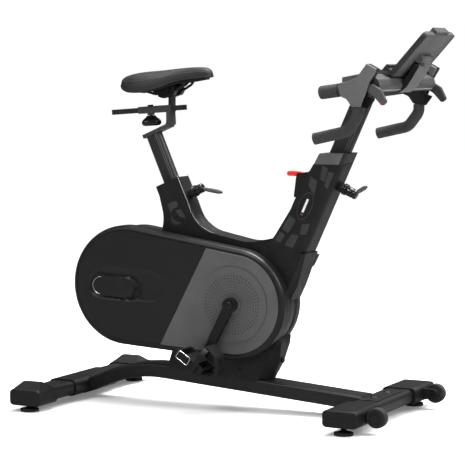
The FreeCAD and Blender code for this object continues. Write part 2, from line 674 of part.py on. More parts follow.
def front_cap():
    y_out = FRONT_HALF_WIDTH
    y_in = y_out - FRONT_CAP_LENGTH
    body = cap_sleeve(FRONT_X, FRONT_TUBE_Z, CAP_SIDE + 1, y_in, y_out)
    arm_out = WHEEL_Y - WHEEL_WIDTH / 2 - WHEEL_SIDE_GAP
    arm_in = arm_out - WHEEL_ARM
    arm = fuse([box(FRONT_X + TUBE_DEPTH / 2 - 2, WHEEL_X, arm_in, arm_out, WHEEL_Z - WHEEL_ARM, WHEEL_Z + WHEEL_ARM),
                rod_y(WHEEL_ARM, WHEEL_X, WHEEL_Z, arm_in, arm_out)])
    bore = rod_y(WHEEL_BORE, WHEEL_X, WHEEL_Z, arm_in - 1, arm_out + 1)
    hole = rod_z(FOOT_STEM + STEM_CLEARANCE, FRONT_X, y_out - FOOT_INSET_FRONT, 0, FRONT_TUBE_Z)
    return cut(fuse([body, arm]), [cap_socket(FRONT_X, FRONT_TUBE_Z, y_in, y_out), bore, hole])


def wheel():
    half = WHEEL_WIDTH / 2
    disc = rod_y(WHEEL_RADIUS, WHEEL_X, WHEEL_Z, WHEEL_Y - half, WHEEL_Y + half)
    disc = disc.makeFillet(WHEEL_ROUND, [e for e in disc.Edges if e.BoundBox.YLength < 1e-3])
    dish = rod_y(WHEEL_RADIUS - WHEEL_RIM, WHEEL_X, WHEEL_Z, WHEEL_Y + half - WHEEL_DISH, WHEEL_Y + half + 1)
    hub = rod_y(WHEEL_BORE + WHEEL_HUB_WALL, WHEEL_X, WHEEL_Z, WHEEL_Y - half, WHEEL_Y + half)
    bore = rod_y(WHEEL_BORE + AXLE_CLEARANCE, WHEEL_X, WHEEL_Z, WHEEL_Y - half - 1, WHEEL_Y + half + 1)
    return cut(fuse([disc.cut(dish), hub]), bore)


def wheel_bolt():
    arm_in = WHEEL_Y - WHEEL_WIDTH / 2 - WHEEL_SIDE_GAP - WHEEL_ARM
    outer = WHEEL_Y + WHEEL_WIDTH / 2 + WHEEL_SIDE_GAP / 2
    shank = rod_y(WHEEL_BORE, WHEEL_X, WHEEL_Z, arm_in - WHEEL_BOLT_NUT, outer)
    head = rod_y(WHEEL_BOLT_HEAD, WHEEL_X, WHEEL_Z, outer, outer + WHEEL_BOLT_HEAD / 2)
    nut = rod_y(WHEEL_BOLT_HEAD, WHEEL_X, WHEEL_Z, arm_in - WHEEL_BOLT_NUT, arm_in)
    return fuse([shank, head, nut])


def plate_bolt():
    top = FRONT_TUBE_Z + TUBE_HEIGHT / 2 + BRACKET_WALL
    head = Part.makeCone(*PLATE_BOLT_HEAD, V(FRONT_X, PLATE_BOLT_Y, top), Z_AXIS)
    return fuse([head, rod_z(PLATE_BOLT_RADIUS, FRONT_X, PLATE_BOLT_Y, top - BRACKET_WALL - TUBE_WALL, top)])


def base_bolts():
    pieces = [wheel_bolt(), plate_bolt()]
    return Part.makeCompound(pieces + [mirrored(p) for p in pieces])


def foot(x, y):
    pad = rod_z(FOOT_RADIUS, x, y, 0, FOOT_PAD)
    pad = pad.makeFillet(FOOT_ROUND, [e for e in pad.Edges if e.BoundBox.ZLength < 1e-3])
    inset_by, cone_top, cone_height = FOOT_CONE
    cone = Part.makeCone(FOOT_RADIUS - inset_by, cone_top, cone_height, V(x, y, FOOT_PAD), Z_AXIS)
    nut_low = FOOT_PAD + cone_height
    nut = rod_z(FOOT_NUT_RADIUS, x, y, nut_low, nut_low + FOOT_NUT_HEIGHT)
    return fuse([pad, cone, nut, rod_z(FOOT_STEM, x, y, FOOT_PAD, FOOT_STEM_TOP)])


def beam_points():
    """Rear end, bend corner and front end of the beam's centre line."""
    rear = V(TUBE_DEPTH / 2, 0, REAR_TUBE_Z + BEAM_RISE)
    front = V(FRONT_X - TUBE_DEPTH / 2, 0, FRONT_TUBE_Z)
    up = tan(radians(BEAM_REAR_SLOPE))
    down = tan(radians(BEAM_FRONT_SLOPE))
    x = (front.z + front.x * down - rear.z + rear.x * up) / (up + down)
    return rear, V(x, 0, rear.z + (x - rear.x) * up), front


def beam_sweep(width, height, corner):
    rear, bend, front = beam_points()
    rear = rear - (bend - rear).normalize() * BEAM_TAIL
    back = (rear - bend).normalize()
    ahead = (front - bend).normalize()
    half = back.getAngle(ahead) / 2
    reach = BEAM_BEND / tan(half)
    crest = bend + (back + ahead).normalize() * (BEAM_BEND / sin(half) - BEAM_BEND)
    path = Part.Wire([
        Part.makeLine(rear, bend + back * reach),
        Part.Arc(bend + back * reach, crest, bend + ahead * reach).toShape(),
        Part.makeLine(bend + ahead * reach, front),
    ])
    corners = [(sx * height / 2, sy * width / 2, corner) for sx, sy in QUADRANTS]
    ring = corner_wire(corners, "xy")
    ring.rotate(V(0, 0, 0), Y_AXIS, 90 - BEAM_REAR_SLOPE)
    ring.translate(rear)
    return path.makePipeShell([ring], True, False)


def beam_outer():
    return beam_sweep(BEAM_WIDTH, BEAM_HEIGHT, BEAM_CORNER)


def sleeve_outer():
    grow = BRACKET_WALL
    return slab(rect(-TUBE_DEPTH / 2 - grow, TUBE_DEPTH / 2 + grow, REAR_TUBE_Z - TUBE_HEIGHT / 2 - grow,
                     REAR_TUBE_Z + TUBE_HEIGHT / 2 + grow, TUBE_CORNER + grow), -REAR_BRACKET_HALF, REAR_BRACKET_HALF)


def main_beam():
    inner = beam_sweep(BEAM_WIDTH - 2 * BEAM_WALL, BEAM_HEIGHT - 2 * BEAM_WALL, BEAM_CORNER - BEAM_WALL)
    tube = beam_outer().cut(inner)
    return cut(tube, [sleeve_outer(), stabiliser_outer(FRONT_X, FRONT_TUBE_Z, FRONT_HALF_WIDTH)])


def brackets():
    rear, bend, front = beam_points()
    along = (bend - rear).normalize()
    down = V(along.z, 0, -along.x)
    low = BEAM_HEIGHT / 2
    start = rear + along * CRADLE_FROM
    end = rear + along * CRADLE_TO
    deep = low + BRACKET_WALL
    points = [start + down * low, end + down * low, end + down * deep, start + down * deep]
    wire = Part.makePolygon(points + [points[0]])
    cradle = slab(wire, -BEAM_WIDTH / 2 - CRADLE_OVER, BEAM_WIDTH / 2 + CRADLE_OVER)
    sleeve = keep_largest(cut(fuse([sleeve_outer(), cradle]), stabiliser_outer(0, REAR_TUBE_Z, REAR_HALF_WIDTH)))
    top = FRONT_TUBE_Z + TUBE_HEIGHT / 2
    plate = box(FRONT_X - FRONT_PLATE_DEPTH / 2, FRONT_X + FRONT_PLATE_DEPTH / 2,
                -FRONT_PLATE_HALF, FRONT_PLATE_HALF, top, top + BRACKET_WALL)
    plate = fillet_some(plate, FRONT_PLATE_ROUND, lambda e: e.BoundBox.ZMin > top + BRACKET_WALL - 1e-3)
    holes = [rod_z(PLATE_BOLT_RADIUS, FRONT_X, s * PLATE_BOLT_Y, top - 1, top + BRACKET_WALL + 1)
             for s in (-1, 1)]
    return Part.makeCompound([sleeve, cut(plate, holes)])


def front_stabiliser():
    top = FRONT_TUBE_Z + TUBE_HEIGHT / 2
    holes = [rod_z(PLATE_BOLT_RADIUS, FRONT_X, s * PLATE_BOLT_Y, top - TUBE_WALL - 1, top + 1) for s in (-1, 1)]
    return cut(front_tube(), holes)


# --------------------------------------------------- inner tubes and bearings
def seat_tube(shrink):
    size = 2 * shrink
    return on_seat_axis(oval_bar(2 * SEAT_TUBE_HALF - size, 2 * TUBE_HALF - size, TUBE_CORNER_POST - shrink,
                                 -TUBE_FOOT, SEAT_TUBE_TOP))


def mast_tube(shrink):
    size = 2 * shrink
    return on_mast_axis(oval_bar(2 * MAST_TUBE_HALF - size, 2 * TUBE_HALF - size, TUBE_CORNER_POST - shrink,
                                 -TUBE_FOOT - MAST_TUBE_EXTRA, MAST_TUBE_TOP))


def pin_collar(half_depth, station, end):
    return rod_x(COLLAR_RADIUS, half_depth - TUBE_SKIN, end, 0, station)


def pin_hole(station, end):
    return rod_x(PIN_RADIUS_PULL + PIN_CLEARANCE, 0, end + 1, 0, station)


def frame_tubes():
    solids = [seat_tube(0), mast_tube(0)]
    solids.append(on_seat_axis(pin_collar(SEAT_TUBE_HALF, SEAT_PIN_AT, SEAT_COLLAR_END)))
    solids.append(on_mast_axis(pin_collar(MAST_TUBE_HALF, MAST_PIN_AT, MAST_COLLAR_END)))
    gusset = corner_wire(GUSSET_OUTLINE)
    for side in (-1, 1):
        solids.append(slab(gusset, side * GUSSET_NEAR, side * GUSSET_FAR))
        stay = slab(corner_wire(STAY_OUTLINE), side * TUBE_HALF, side * (TUBE_HALF + STAY_THICK))
        solids.append(stay)
    solids.append(rod_y(BB_RADIUS, CRANK_X, CRANK_Z, -BB_HALF, BB_HALF))
    solids.append(rod_y(BRAKE_PIN, BRAKE_X, BRAKE_Z, -TUBE_HALF - STAY_THICK, TUBE_HALF + STAY_THICK))
    body = fuse(solids)
    voids = [
        seat_tube(TUBE_SKIN),
        mast_tube(TUBE_SKIN),
        on_seat_axis(pin_hole(SEAT_PIN_AT, SEAT_COLLAR_END)),
        on_mast_axis(pin_hole(MAST_PIN_AT, MAST_COLLAR_END)),
        rod_y(BB_RADIUS - BB_WALL, CRANK_X, CRANK_Z, -BB_HALF - 1, BB_HALF + 1),
        rod_y(STAY_BEARING, FLYWHEEL_X, FLYWHEEL_Z, -60, 60),
        beam_outer(),
    ]
    return keep_largest(cut(body, voids))


def ring_y(outer, inner, x, z, y_from, y_to):
    return rod_y(outer, x, z, y_from, y_to).cut(rod_y(inner, x, z, y_from - 1, y_to + 1))


def bearings():
    pieces = []
    for side in (-1, 1):
        near, far = sorted((side * (BB_HALF - BB_BEARING), side * BB_HALF))
        pieces.append(ring_y(BB_RADIUS - BB_WALL, AXLE_RADIUS + BEARING_FIT, CRANK_X, CRANK_Z, near, far))
        near, far = sorted((side * (TUBE_HALF - 2), side * (TUBE_HALF + STAY_THICK + 1)))
        pieces.append(ring_y(STAY_BEARING, FLYWHEEL_SHAFT + BEARING_FIT, FLYWHEEL_X, FLYWHEEL_Z, near, far))
    return Part.makeCompound(pieces)


def bush(half_depth, top, length):
    """Outer body of a post's bush, and the hole for the post."""
    outer = oval_bar(2 * (half_depth - TUBE_SKIN), 2 * (TUBE_HALF - TUBE_SKIN), TUBE_CORNER_POST - TUBE_SKIN,
                     top - length, top)
    post_hole = oval_bar(2 * (half_depth - TUBE_SKIN - BUSH_WALL), 2 * (TUBE_HALF - TUBE_SKIN - BUSH_WALL),
                         POST_CORNER + POST_FIT, top - length - 1, top + 40)
    return outer, post_hole


def post_bushes():
    outer, hole = bush(SEAT_TUBE_HALF, SEAT_TUBE_TOP, SEAT_BUSH)
    depth, width, corner, height = BUSH_COLLAR
    collar = oval_bar(depth, width, corner, SEAT_TUBE_TOP, SEAT_TUBE_TOP + height, 1)
    seat = on_seat_axis(cut(fuse([outer, collar]), hole))
    outer, hole = bush(MAST_TUBE_HALF, MAST_TUBE_TOP, MAST_BUSH)
    return Part.makeCompound([seat, on_mast_axis(cut(outer, hole))])


# -------------------------------------------------------------- plastic covers
def drum_slab(front, rear, y_from, y_to):
    return slab(capsule_wire(front, rear), y_from, y_to)


def right_radii(shrink):
    return CORE_R_FRONT + COVER_STEP - shrink, CORE_R_REAR + COVER_STEP - shrink


def left_radii(shrink):
    return CORE_R_FRONT - LEFT_INSET - shrink, CORE_R_REAR - LEFT_INSET - shrink


def drum_outer():
    """The whole drum as one filled body: core, right side cover and left side cover."""
    core = drum_slab(CORE_R_FRONT, CORE_R_REAR, -CORE_HALF, CORE_HALF)
    right = drum_slab(*right_radii(0), -DRUM_FACE, -CORE_HALF)
    right = fillet_some(right, COVER_ROUND, lambda e: e.BoundBox.YMax < -DRUM_FACE + 1e-3)
    left = drum_slab(*left_radii(0), CORE_HALF, LEFT_FACE)
    left = fillet_some(left, COVER_ROUND, lambda e: e.BoundBox.YMin > LEFT_FACE - 1e-3)
    return fuse([core, right, left])


def drum_inner():
    wall = COVER_WALL
    face = wall + PANEL_THICK
    core = drum_slab(CORE_R_FRONT - wall, CORE_R_REAR - wall, -CORE_HALF + wall, CORE_HALF - wall)
    right = drum_slab(*right_radii(COVER_RIM_WALL), -DRUM_FACE + face, -CORE_HALF + wall)
    left = drum_slab(*left_radii(COVER_RIM_WALL), CORE_HALF - wall, LEFT_FACE - face)
    return fuse([core, right, left])


def panel_wire(radii, side_inset):
    """Crescent round the crank, cut off behind by a slanted line."""
    front, rear = radii
    face = Part.Face(capsule_wire(front - side_inset, rear - side_inset))
    lean_x = tan(radians(PANEL_LINE_LEAN))
    reach = 2 * CORE_R_FRONT
    top = PANEL_LINE_Z + reach
    low = PANEL_LINE_Z - reach
    keep = Part.Face(Part.makePolygon([
        V(PANEL_LINE_X + reach * lean_x, 0, top), V(FAR, 0, top), V(FAR, 0, low),
        V(PANEL_LINE_X - reach * lean_x, 0, low), V(PANEL_LINE_X + reach * lean_x, 0, top)]))
    return face.common(keep)


def panel(side):
    radii = right_radii(0) if side < 0 else left_radii(0)
    face_y = DRUM_FACE if side < 0 else LEFT_FACE
    plate = panel_wire(radii, PANEL_MARGIN).copy()
    plate.translate(V(0, side * (face_y - PANEL_THICK), 0))
    plate = plate.extrude(V(0, side * PANEL_THICK, 0))
    return cut(plate, rod_y(AXLE_HOLE, CRANK_X, CRANK_Z, -FAR, FAR))


def side_panels():
    return Part.makeCompound([panel(-1), panel(1)])


def casing_halves():
    tunnel_half = CORE_HALF - 2 * PANEL_THICK
    tunnel = cover_inner().common(box(-FAR, FAR, -tunnel_half, tunnel_half, 0, FAR))
    shell = drum_outer().cut([drum_inner(), rod_y(AXLE_HOLE, CRANK_X, CRANK_Z, -FAR, FAR), panel(-1), panel(1),
                              tunnel, beam_outer()])
    return halves(shell)


def halves(shell):
    left = shell.common(box(-FAR, FAR, 0, FAR, -FAR, FAR))
    right = shell.common(box(-FAR, FAR, -FAR, 0, -FAR, FAR))
    return left.removeSplitter(), right.removeSplitter()


def cover_piece(corners, half, shrink):
    return slab(inset(corner_wire(corners), shrink), -half + shrink, half - shrink)


def mast_prism(shrink):
    """Long bar along the mast whose two front corners are well rounded."""
    front = MAST_FRONT - shrink
    return on_mast_axis(oval_bar(300, 2 * (MAST_HALF - shrink), MAST_ROUND - shrink, -700, 200, front - 150))


def nose_cutters(x_tip, z_low, z_high, half_low, half_high, slope, shift):
    """Two wedges that bring a cover's front corners in towards the centre plane lower down."""
    wedges = []
    for side in (-1, 1):
        low = half_low - shift
        high = half_high - shift
        base = Part.makePolygon([V(x_tip, side * low, z_low), V(x_tip + 120, side * (low - 60), z_low),
                                 V(x_tip + 120, side * 160, z_low), V(x_tip - 60, side * 160, z_low),
                                 V(x_tip - 60, side * (low + 62), z_low), V(x_tip, side * low, z_low)])
        top = Part.makePolygon([V(x_tip + slope, side * high, z_high),
                                V(x_tip + slope + 120, side * (high - 60), z_high),
                                V(x_tip + slope + 120, side * 160, z_high),
                                V(x_tip + slope - 60, side * 160, z_high),
                                V(x_tip + slope - 60, side * (high + 62), z_high),
                                V(x_tip + slope, side * high, z_high)])
        wedges.append(Part.makeLoft([base, top], True, True))
    return wedges


def cover_solid(shrink):
    seat = cover_piece(SEAT_COVER, SEAT_COVER_HALF, shrink)
    band = cover_piece(BAND, BAND_HALF, shrink)
    mast = cover_piece(MAST_COVER, MAST_HALF, shrink)
    belly = box(400, 900, -60, 60, 200, MAST_BELLY)
    lower = mast.common(belly).cut(nose_cutters(655, 280, MAST_BELLY, 14, 38, 44, shrink))
    upper = mast.cut(belly).common(mast_prism(shrink))
    pylon = cover_piece(PYLON_COVER, PYLON_HALF, shrink)
    pylon = pylon.cut(nose_cutters(588, 80, 200, 4, 36, 34, shrink))
    return fuse([seat, band, upper, lower, pylon])


def cover_inner():
    return cover_solid(COVER_WALL)


def lever_hood():
    """Open topped cowl behind the mast that carries the brake lever."""
    outer = slab(corner_wire(COWL), -COWL_HALF, COWL_HALF)
    pocket = slab(corner_wire(COWL_POCKET), -LEVER_HALF - COWL_WALL, LEVER_HALF + COWL_WALL)
    return outer.cut(pocket), pocket


def cover_halves():
    outer = cover_solid(0)
    cowl, pocket = lever_hood()
    shell = fuse([outer, cowl]).cut([cover_inner(), drum_outer(), beam_outer(), pocket])
    keep_out = [
        on_seat_axis(oval_bar(400, 400, 5, SEAT_TUBE_TOP + 3, 60)),
        on_seat_axis(rod_x(COLLAR_RADIUS + COLLAR_FIT, 0, 80, 0, SEAT_PIN_AT)),
        on_mast_axis(rod_x(COLLAR_RADIUS + COLLAR_FIT, 0, 80, 0, MAST_PIN_AT)),
        box(600, 900, -60, 60, CAP_SEAM, 760),
        mast_tube(0),
        seat_tube(0),
        cover_screws(),
        rod_x(INLET_RADIUS, 560, 640, 0, INLET_Z),
    ]
    shell = shell.cut(keep_out)
    return halves(Part.makeCompound([s for s in shell.Solids if s.Volume > SCRAP]))


def cap_outline():
    back = (CAP_TOP - CAP_SEAM) * CAP_LEAN
    ahead = (CAP_TOP - CAP_SEAM) * tan(radians(MAST_LEAN))
    front = CAP_REAR + 78
    return [(CAP_REAR, CAP_SEAM, 0), (front, CAP_SEAM, 0), (front + ahead, CAP_TOP, 1.5),
            (CAP_REAR + back, CAP_TOP, 6)]


def mast_top_cap():
    outer = slab(corner_wire(cap_outline()), -MAST_HALF, MAST_HALF)
    outer = outer.common(mast_prism(0))
    inner = slab(corner_wire(cap_outline()), -MAST_HALF + CAP_WALL, MAST_HALF - CAP_WALL)
    inner = inner.common(box(0, FAR, -60, 60, 0, CAP_TOP - 4)).copy()
    inner = inner.common(on_mast_axis(oval_bar(2 * MAST_FRONT - 5, 2 * MAST_HALF - 5, MAST_ROUND - 2, -400, 100)))
    hole = on_mast_axis(oval_bar(BAR_POST_DEPTH + 2 * POST_FIT, BAR_POST_WIDTH + 2 * POST_FIT,
                                 POST_CORNER + POST_FIT, -300, 100))
    tube = mast_tube(0)
    return cut(outer, [inner, hole, tube])


def cover_screws():
    pieces = []
    for x, z, half in SCREW_SPOTS:
        screw = fuse([rod_y(SCREW_HEAD, x, z, half, half + 1.5), rod_y(SCREW_SHANK, x, z, half - 8, half)])
        pieces += [screw, mirrored(screw)]
    pieces.append(rod_y(LEVER_PIN, LEVER_X, LEVER_Z, -COWL_HALF, COWL_HALF))
    return Part.makeCompound(pieces)


def power_inlet():
    body = rod_x(INLET_RADIUS, INLET_FROM, INLET_TO, 0, INLET_Z)
    return cut(body, rod_x(INLET_BORE, (INLET_FROM + INLET_TO) / 2, FAR, 0, INLET_Z))


def badge(side):
    face_y = DRUM_FACE if side < 0 else LEFT_FACE
    radius = BADGE_RADIUS[side]
    back = BADGE_X - BADGE_HALF
    ahead = BADGE_X + BADGE_HALF
    plate = fuse([box(back, ahead, 0, BADGE_THICK, BADGE_Z - radius, BADGE_Z + radius),
                  rod_y(radius, back, BADGE_Z, 0, BADGE_THICK), rod_y(radius, ahead, BADGE_Z, 0, BADGE_THICK)])
    plate.rotate(V(BADGE_X, 0, BADGE_Z), Y_AXIS, BADGE_TURN)
    if side < 0:
        plate = mirrored(plate)
    plate.translate(V(0, side * face_y, 0))
    return plate


def badge_plates():
    return Part.makeCompound([badge(-1), badge(1)])


# --------------------------------------------------------------------- drive
def crank_end(side):
    """Pedal eye centre of the right (-1) or left (+1) crank arm."""
    angle = radians(CRANK_ANGLE)
    turn = -side
    return CRANK_X + turn * CRANK_LENGTH * sin(angle), CRANK_Z + turn * CRANK_LENGTH * cos(angle)


def between(side, near, far):
    return (near, far) if side > 0 else (-far, -near)


def tangent_hull(x1, z1, r1, x2, z2, r2, y_from, y_to):
    span = sqrt((x2 - x1) ** 2 + (z2 - z1) ** 2)
    along = atan2(z2 - z1, x2 - x1)
    swing = pi / 2 + atan2(r2 - r1, sqrt(span ** 2 - (r2 - r1) ** 2))
    a = V(x1 + r1 * cos(along + swing), 0, z1 + r1 * sin(along + swing))
    b = V(x1 + r1 * cos(along - swing), 0, z1 + r1 * sin(along - swing))
    c = V(x2 + r2 * cos(along - swing), 0, z2 + r2 * sin(along - swing))
    d = V(x2 + r2 * cos(along + swing), 0, z2 + r2 * sin(along + swing))
    back = V(x1 - r1 * cos(along), 0, z1 - r1 * sin(along))
    tip = V(x2 + r2 * cos(along), 0, z2 + r2 * sin(along))
    wire = Part.Wire([Part.Arc(a, back, b).toShape(), Part.makeLine(b, c), Part.Arc(c, tip, d).toShape(),
                      Part.makeLine(d, a)])
    return slab(wire, y_from, y_to)


def crank_arm(side):
    x, z = crank_end(side)
    near, far = between(side, CRANK_INNER, CRANK_INNER + CRANK_THICK)
    arm = tangent_hull(CRANK_X, CRANK_Z, ARM_ROOT, x, z, ARM_TIP, near, far)
    arm = arm.makeFillet(ARM_ROUND, [e for e in arm.Edges if e.BoundBox.YLength < 1e-3])
    arm = fuse([arm, rod_y(ARM_BOSS, CRANK_X, CRANK_Z, near, far), rod_y(ARM_EYE, x, z, near, far)])
    face = CRANK_INNER + CRANK_THICK
    near, far = between(side, face - 1, face + ARM_CAP_HEIGHT)
    cap = rod_y(ARM_CAP_RADIUS, CRANK_X, CRANK_Z, near, far)
    near, far = between(side, 0, face - AXLE_SHORT)
    axle = rod_y(AXLE_RADIUS, CRANK_X, CRANK_Z, near, far)
    near, far = between(side, 0, FAR)
    return cut(fuse([arm, cap]), [axle, rod_y(SPINDLE_RADIUS, x, z, near, far)])


def crank_axle():
    reach = CRANK_INNER + CRANK_THICK - AXLE_SHORT
    return rod_y(AXLE_RADIUS, CRANK_X, CRANK_Z, -reach, reach)


def crank_disc(side):
    face_y = DRUM_FACE if side < 0 else LEFT_FACE
    near, far = between(side, face_y + DISC_GAP, face_y + DISC_GAP + DISC_THICK)
    disc = rod_y(DISC_RADIUS if side < 0 else DISC_RADIUS - DISC_STEP, CRANK_X, CRANK_Z, near, far)
    near, far = between(side, face_y + DISC_GAP, CRANK_INNER)
    hub = rod_y(DISC_HUB, CRANK_X, CRANK_Z, near, far)
    near, far = between(side, 0, FAR)
    return cut(fuse([disc, hub]), rod_y(AXLE_RADIUS, CRANK_X, CRANK_Z, near, far))


def crank_discs():
    return Part.makeCompound([crank_disc(-1), crank_disc(1)])


def drive_pulley():
    disc = rod_y(PULLEY_RADIUS, CRANK_X, CRANK_Z, PULLEY_INNER, PULLEY_INNER + PULLEY_WIDTH)
    hollow = ring_y(PULLEY_RADIUS - PULLEY_RIM, PULLEY_HUB + 2, CRANK_X, CRANK_Z, PULLEY_INNER - 1, PULLEY_INNER + 4)
    hub = rod_y(PULLEY_HUB, CRANK_X, CRANK_Z, BB_HALF + 1, PULLEY_INNER + 2)
    return cut(fuse([disc.cut(hollow), hub]), rod_y(AXLE_RADIUS, CRANK_X, CRANK_Z, 0, FAR))


def drive_belt():
    middle = PULLEY_INNER + PULLEY_WIDTH / 2
    y_from = middle - BELT_WIDTH / 2
    y_to = middle + BELT_WIDTH / 2
    large = PULLEY_RADIUS + BELT_FIT
    small = SMALL_PULLEY_RADIUS + BELT_FIT
    outer = tangent_hull(CRANK_X, CRANK_Z, large + BELT_THICK, FLYWHEEL_X, FLYWHEEL_Z, small + BELT_THICK,
                         y_from, y_to)
    inner = tangent_hull(CRANK_X, CRANK_Z, large, FLYWHEEL_X, FLYWHEEL_Z, small, y_from - 1, y_to + 1)
    return outer.cut(inner)


def flywheel():
    half = FLYWHEEL_WIDTH / 2
    disc = rod_y(FLYWHEEL_RADIUS, FLYWHEEL_X, FLYWHEEL_Z, -half, half)
    disc = disc.makeFillet(1.5, [e for e in disc.Edges if e.BoundBox.YLength < 1e-3])
    dishes = [ring_y(FLYWHEEL_RADIUS - FLYWHEEL_RIM, FLYWHEEL_HUB, FLYWHEEL_X, FLYWHEEL_Z,
                     s * half - FLYWHEEL_DISH, s * half + FLYWHEEL_DISH) for s in (-1, 1)]
    return cut(disc, dishes + [rod_y(FLYWHEEL_SHAFT, FLYWHEEL_X, FLYWHEEL_Z, -40, 40)])


def flywheel_axle():
    outer = PULLEY_INNER + PULLEY_WIDTH
    shaft = rod_y(FLYWHEEL_SHAFT, FLYWHEEL_X, FLYWHEEL_Z, -TUBE_HALF - STAY_THICK - 4, outer + 1)
    pulley = rod_y(SMALL_PULLEY_RADIUS, FLYWHEEL_X, FLYWHEEL_Z, PULLEY_INNER, outer)
    return fuse([shaft, pulley])


def magnet_brake():
    """Magnet holder: an arc over the flywheel's rim, on a boss that turns on its pin."""
    inner = FLYWHEEL_RADIUS + MAGNET_GAP
    half = BRAKE_HALF
    band = ring_y(inner + MAGNET_DEPTH, inner, FLYWHEEL_X, FLYWHEEL_Z, -half, half)
    middle = V(FLYWHEEL_X, 0, FLYWHEEL_Z)
    low, high = MAGNET_ARC
    turns = [radians(a) for a in (low, (low + high) / 2, high)]
    rays = [middle + V(cos(a), 0, sin(a)) * 3 * FLYWHEEL_RADIUS for a in turns]
    shoe = band.common(slab(Part.makePolygon([middle] + rays + [middle]), -half, half))
    boss = rod_y(BRAKE_BOSS, BRAKE_X, BRAKE_Z, -half, half)
    web = box(BRAKE_X - BRAKE_BOSS, BRAKE_X + BRAKE_BOSS, -half, half, BRAKE_Z, BRAKE_Z + BRAKE_WEB)
    web = web.common(ring_y(inner + 2 * MAGNET_DEPTH, inner, FLYWHEEL_X, FLYWHEEL_Z, -half, half))
    return cut(fuse([shoe, boss, web]), rod_y(BRAKE_PIN + BRAKE_FIT, BRAKE_X, BRAKE_Z, -FAR, FAR))


def brake_lever():
    blade = slab(corner_wire(LEVER_BLADE), -LEVER_HALF, LEVER_HALF)
    hub = rod_y(LEVER_HUB, LEVER_X, LEVER_Z, -LEVER_HALF, LEVER_HALF)
    return cut(fuse([blade, hub]), rod_y(LEVER_PIN + LEVER_FIT, LEVER_X, LEVER_Z, -FAR, FAR))


# -------------------------------------------------------------------- pedals
def pedal_spindle(side):
    x, z = crank_end(side)
    near, far = between(side, CRANK_INNER, PEDAL_Y + SPINDLE_BEYOND)
    shaft = rod_y(SPINDLE_RADIUS, x, z, near, far)
    near, far = between(side, CRANK_INNER + CRANK_THICK, CRANK_INNER + CRANK_THICK + SPINDLE_COLLAR_LENGTH)
    return fuse([shaft, rod_y(SPINDLE_COLLAR, x, z, near, far)])


def pedal_spindles():
    return Part.makeCompound([pedal_spindle(-1), pedal_spindle(1)])


def on_pedal(shape, side):
    x, z = crank_end(side)
    moved = lean(shape, x, z, PEDAL_TILT[side])
    moved.translate(V(0, side * PEDAL_Y, 0))
    return moved


def pedal(side):
    half = PEDAL_WIDTH / 2
    end = PEDAL_LENGTH / 2
    high = PEDAL_HEIGHT / 2
    body = slab(corner_wire([(-end, -high + 3, 3), (-end + 8, -high, 3), (end - 8, -high, 3), (end, -high + 3, 3),
                             (end, high - 3, 3), (end - 8, high, 3), (-end + 8, high, 3), (-end, high - 3, 3)]),
                -half, half)
    windows = []
    for x in (-PEDAL_WINDOW_X, PEDAL_WINDOW_X):
        windows.append(box(x - PEDAL_WINDOW_HALF, x + PEDAL_WINDOW_HALF, PEDAL_RIM - half, half - PEDAL_RIM,
                           -PEDAL_HEIGHT, PEDAL_HEIGHT))
    bore_in, bore_out = (-half - 1, PEDAL_BORE_BLIND) if side > 0 else (-PEDAL_BORE_BLIND, half + 1)
    windows.append(rod_y(SPINDLE_RADIUS + SPINDLE_CLEARANCE, 0, 0, bore_in, bore_out))
    return on_pedal(cut(body, windows), side)


def strap_loop(half, low, high, radius, x_from, x_to):
    """Filled strap outline across the pedal, well rounded over the shoe, as a slab along X."""
    outline = corner_wire([(-half, low, 4), (half, low, 4), (half, high, radius), (-half, high, radius)])
    loop = slab(outline, -x_to, -x_from)
    loop.rotate(V(0, 0, 0), Z_AXIS, 90)
    return loop


def toe_cage(side):
    end = PEDAL_LENGTH / 2
    strip = slab(corner_wire([(end + x, z, radius) for x, z, radius in CAGE_OUTLINE]), -CAGE_HALF, CAGE_HALF)
    window = box(end + 6, end + 40, -11, 11, 8, 50)
    near = PEDAL_WIDTH / 2 + STRAP_GAP
    low = -PEDAL_HEIGHT / 2 - STRAP_GAP
    strap = strap_loop(near + STRAP_THICK, low - STRAP_THICK, STRAP_TOP, STRAP_ROUND, STRAP_FROM, STRAP_TO)
    inside = strap_loop(near, low, STRAP_TOP - STRAP_TOP_THICK, STRAP_ROUND - STRAP_THICK,
                        STRAP_FROM - 4, STRAP_TO + 4)
    return on_pedal(fuse([strip.cut(window), strap.cut(inside)]), side)


# ---------------------------------------------------------------- seat stack
def hollow_post(depth, width, low, high):
    outer = oval_bar(depth, width, POST_CORNER, low, high)
    bore = oval_bar(depth - 2 * POST_WALL, width - 2 * POST_WALL, POST_CORNER - POST_WALL, low - 1, high + 1)
    return outer.cut(bore)


def seat_post():
    return on_seat_axis(hollow_post(POST_DEPTH, POST_WIDTH, -SEAT_POST_BELOW, SEAT_POST_TOP))


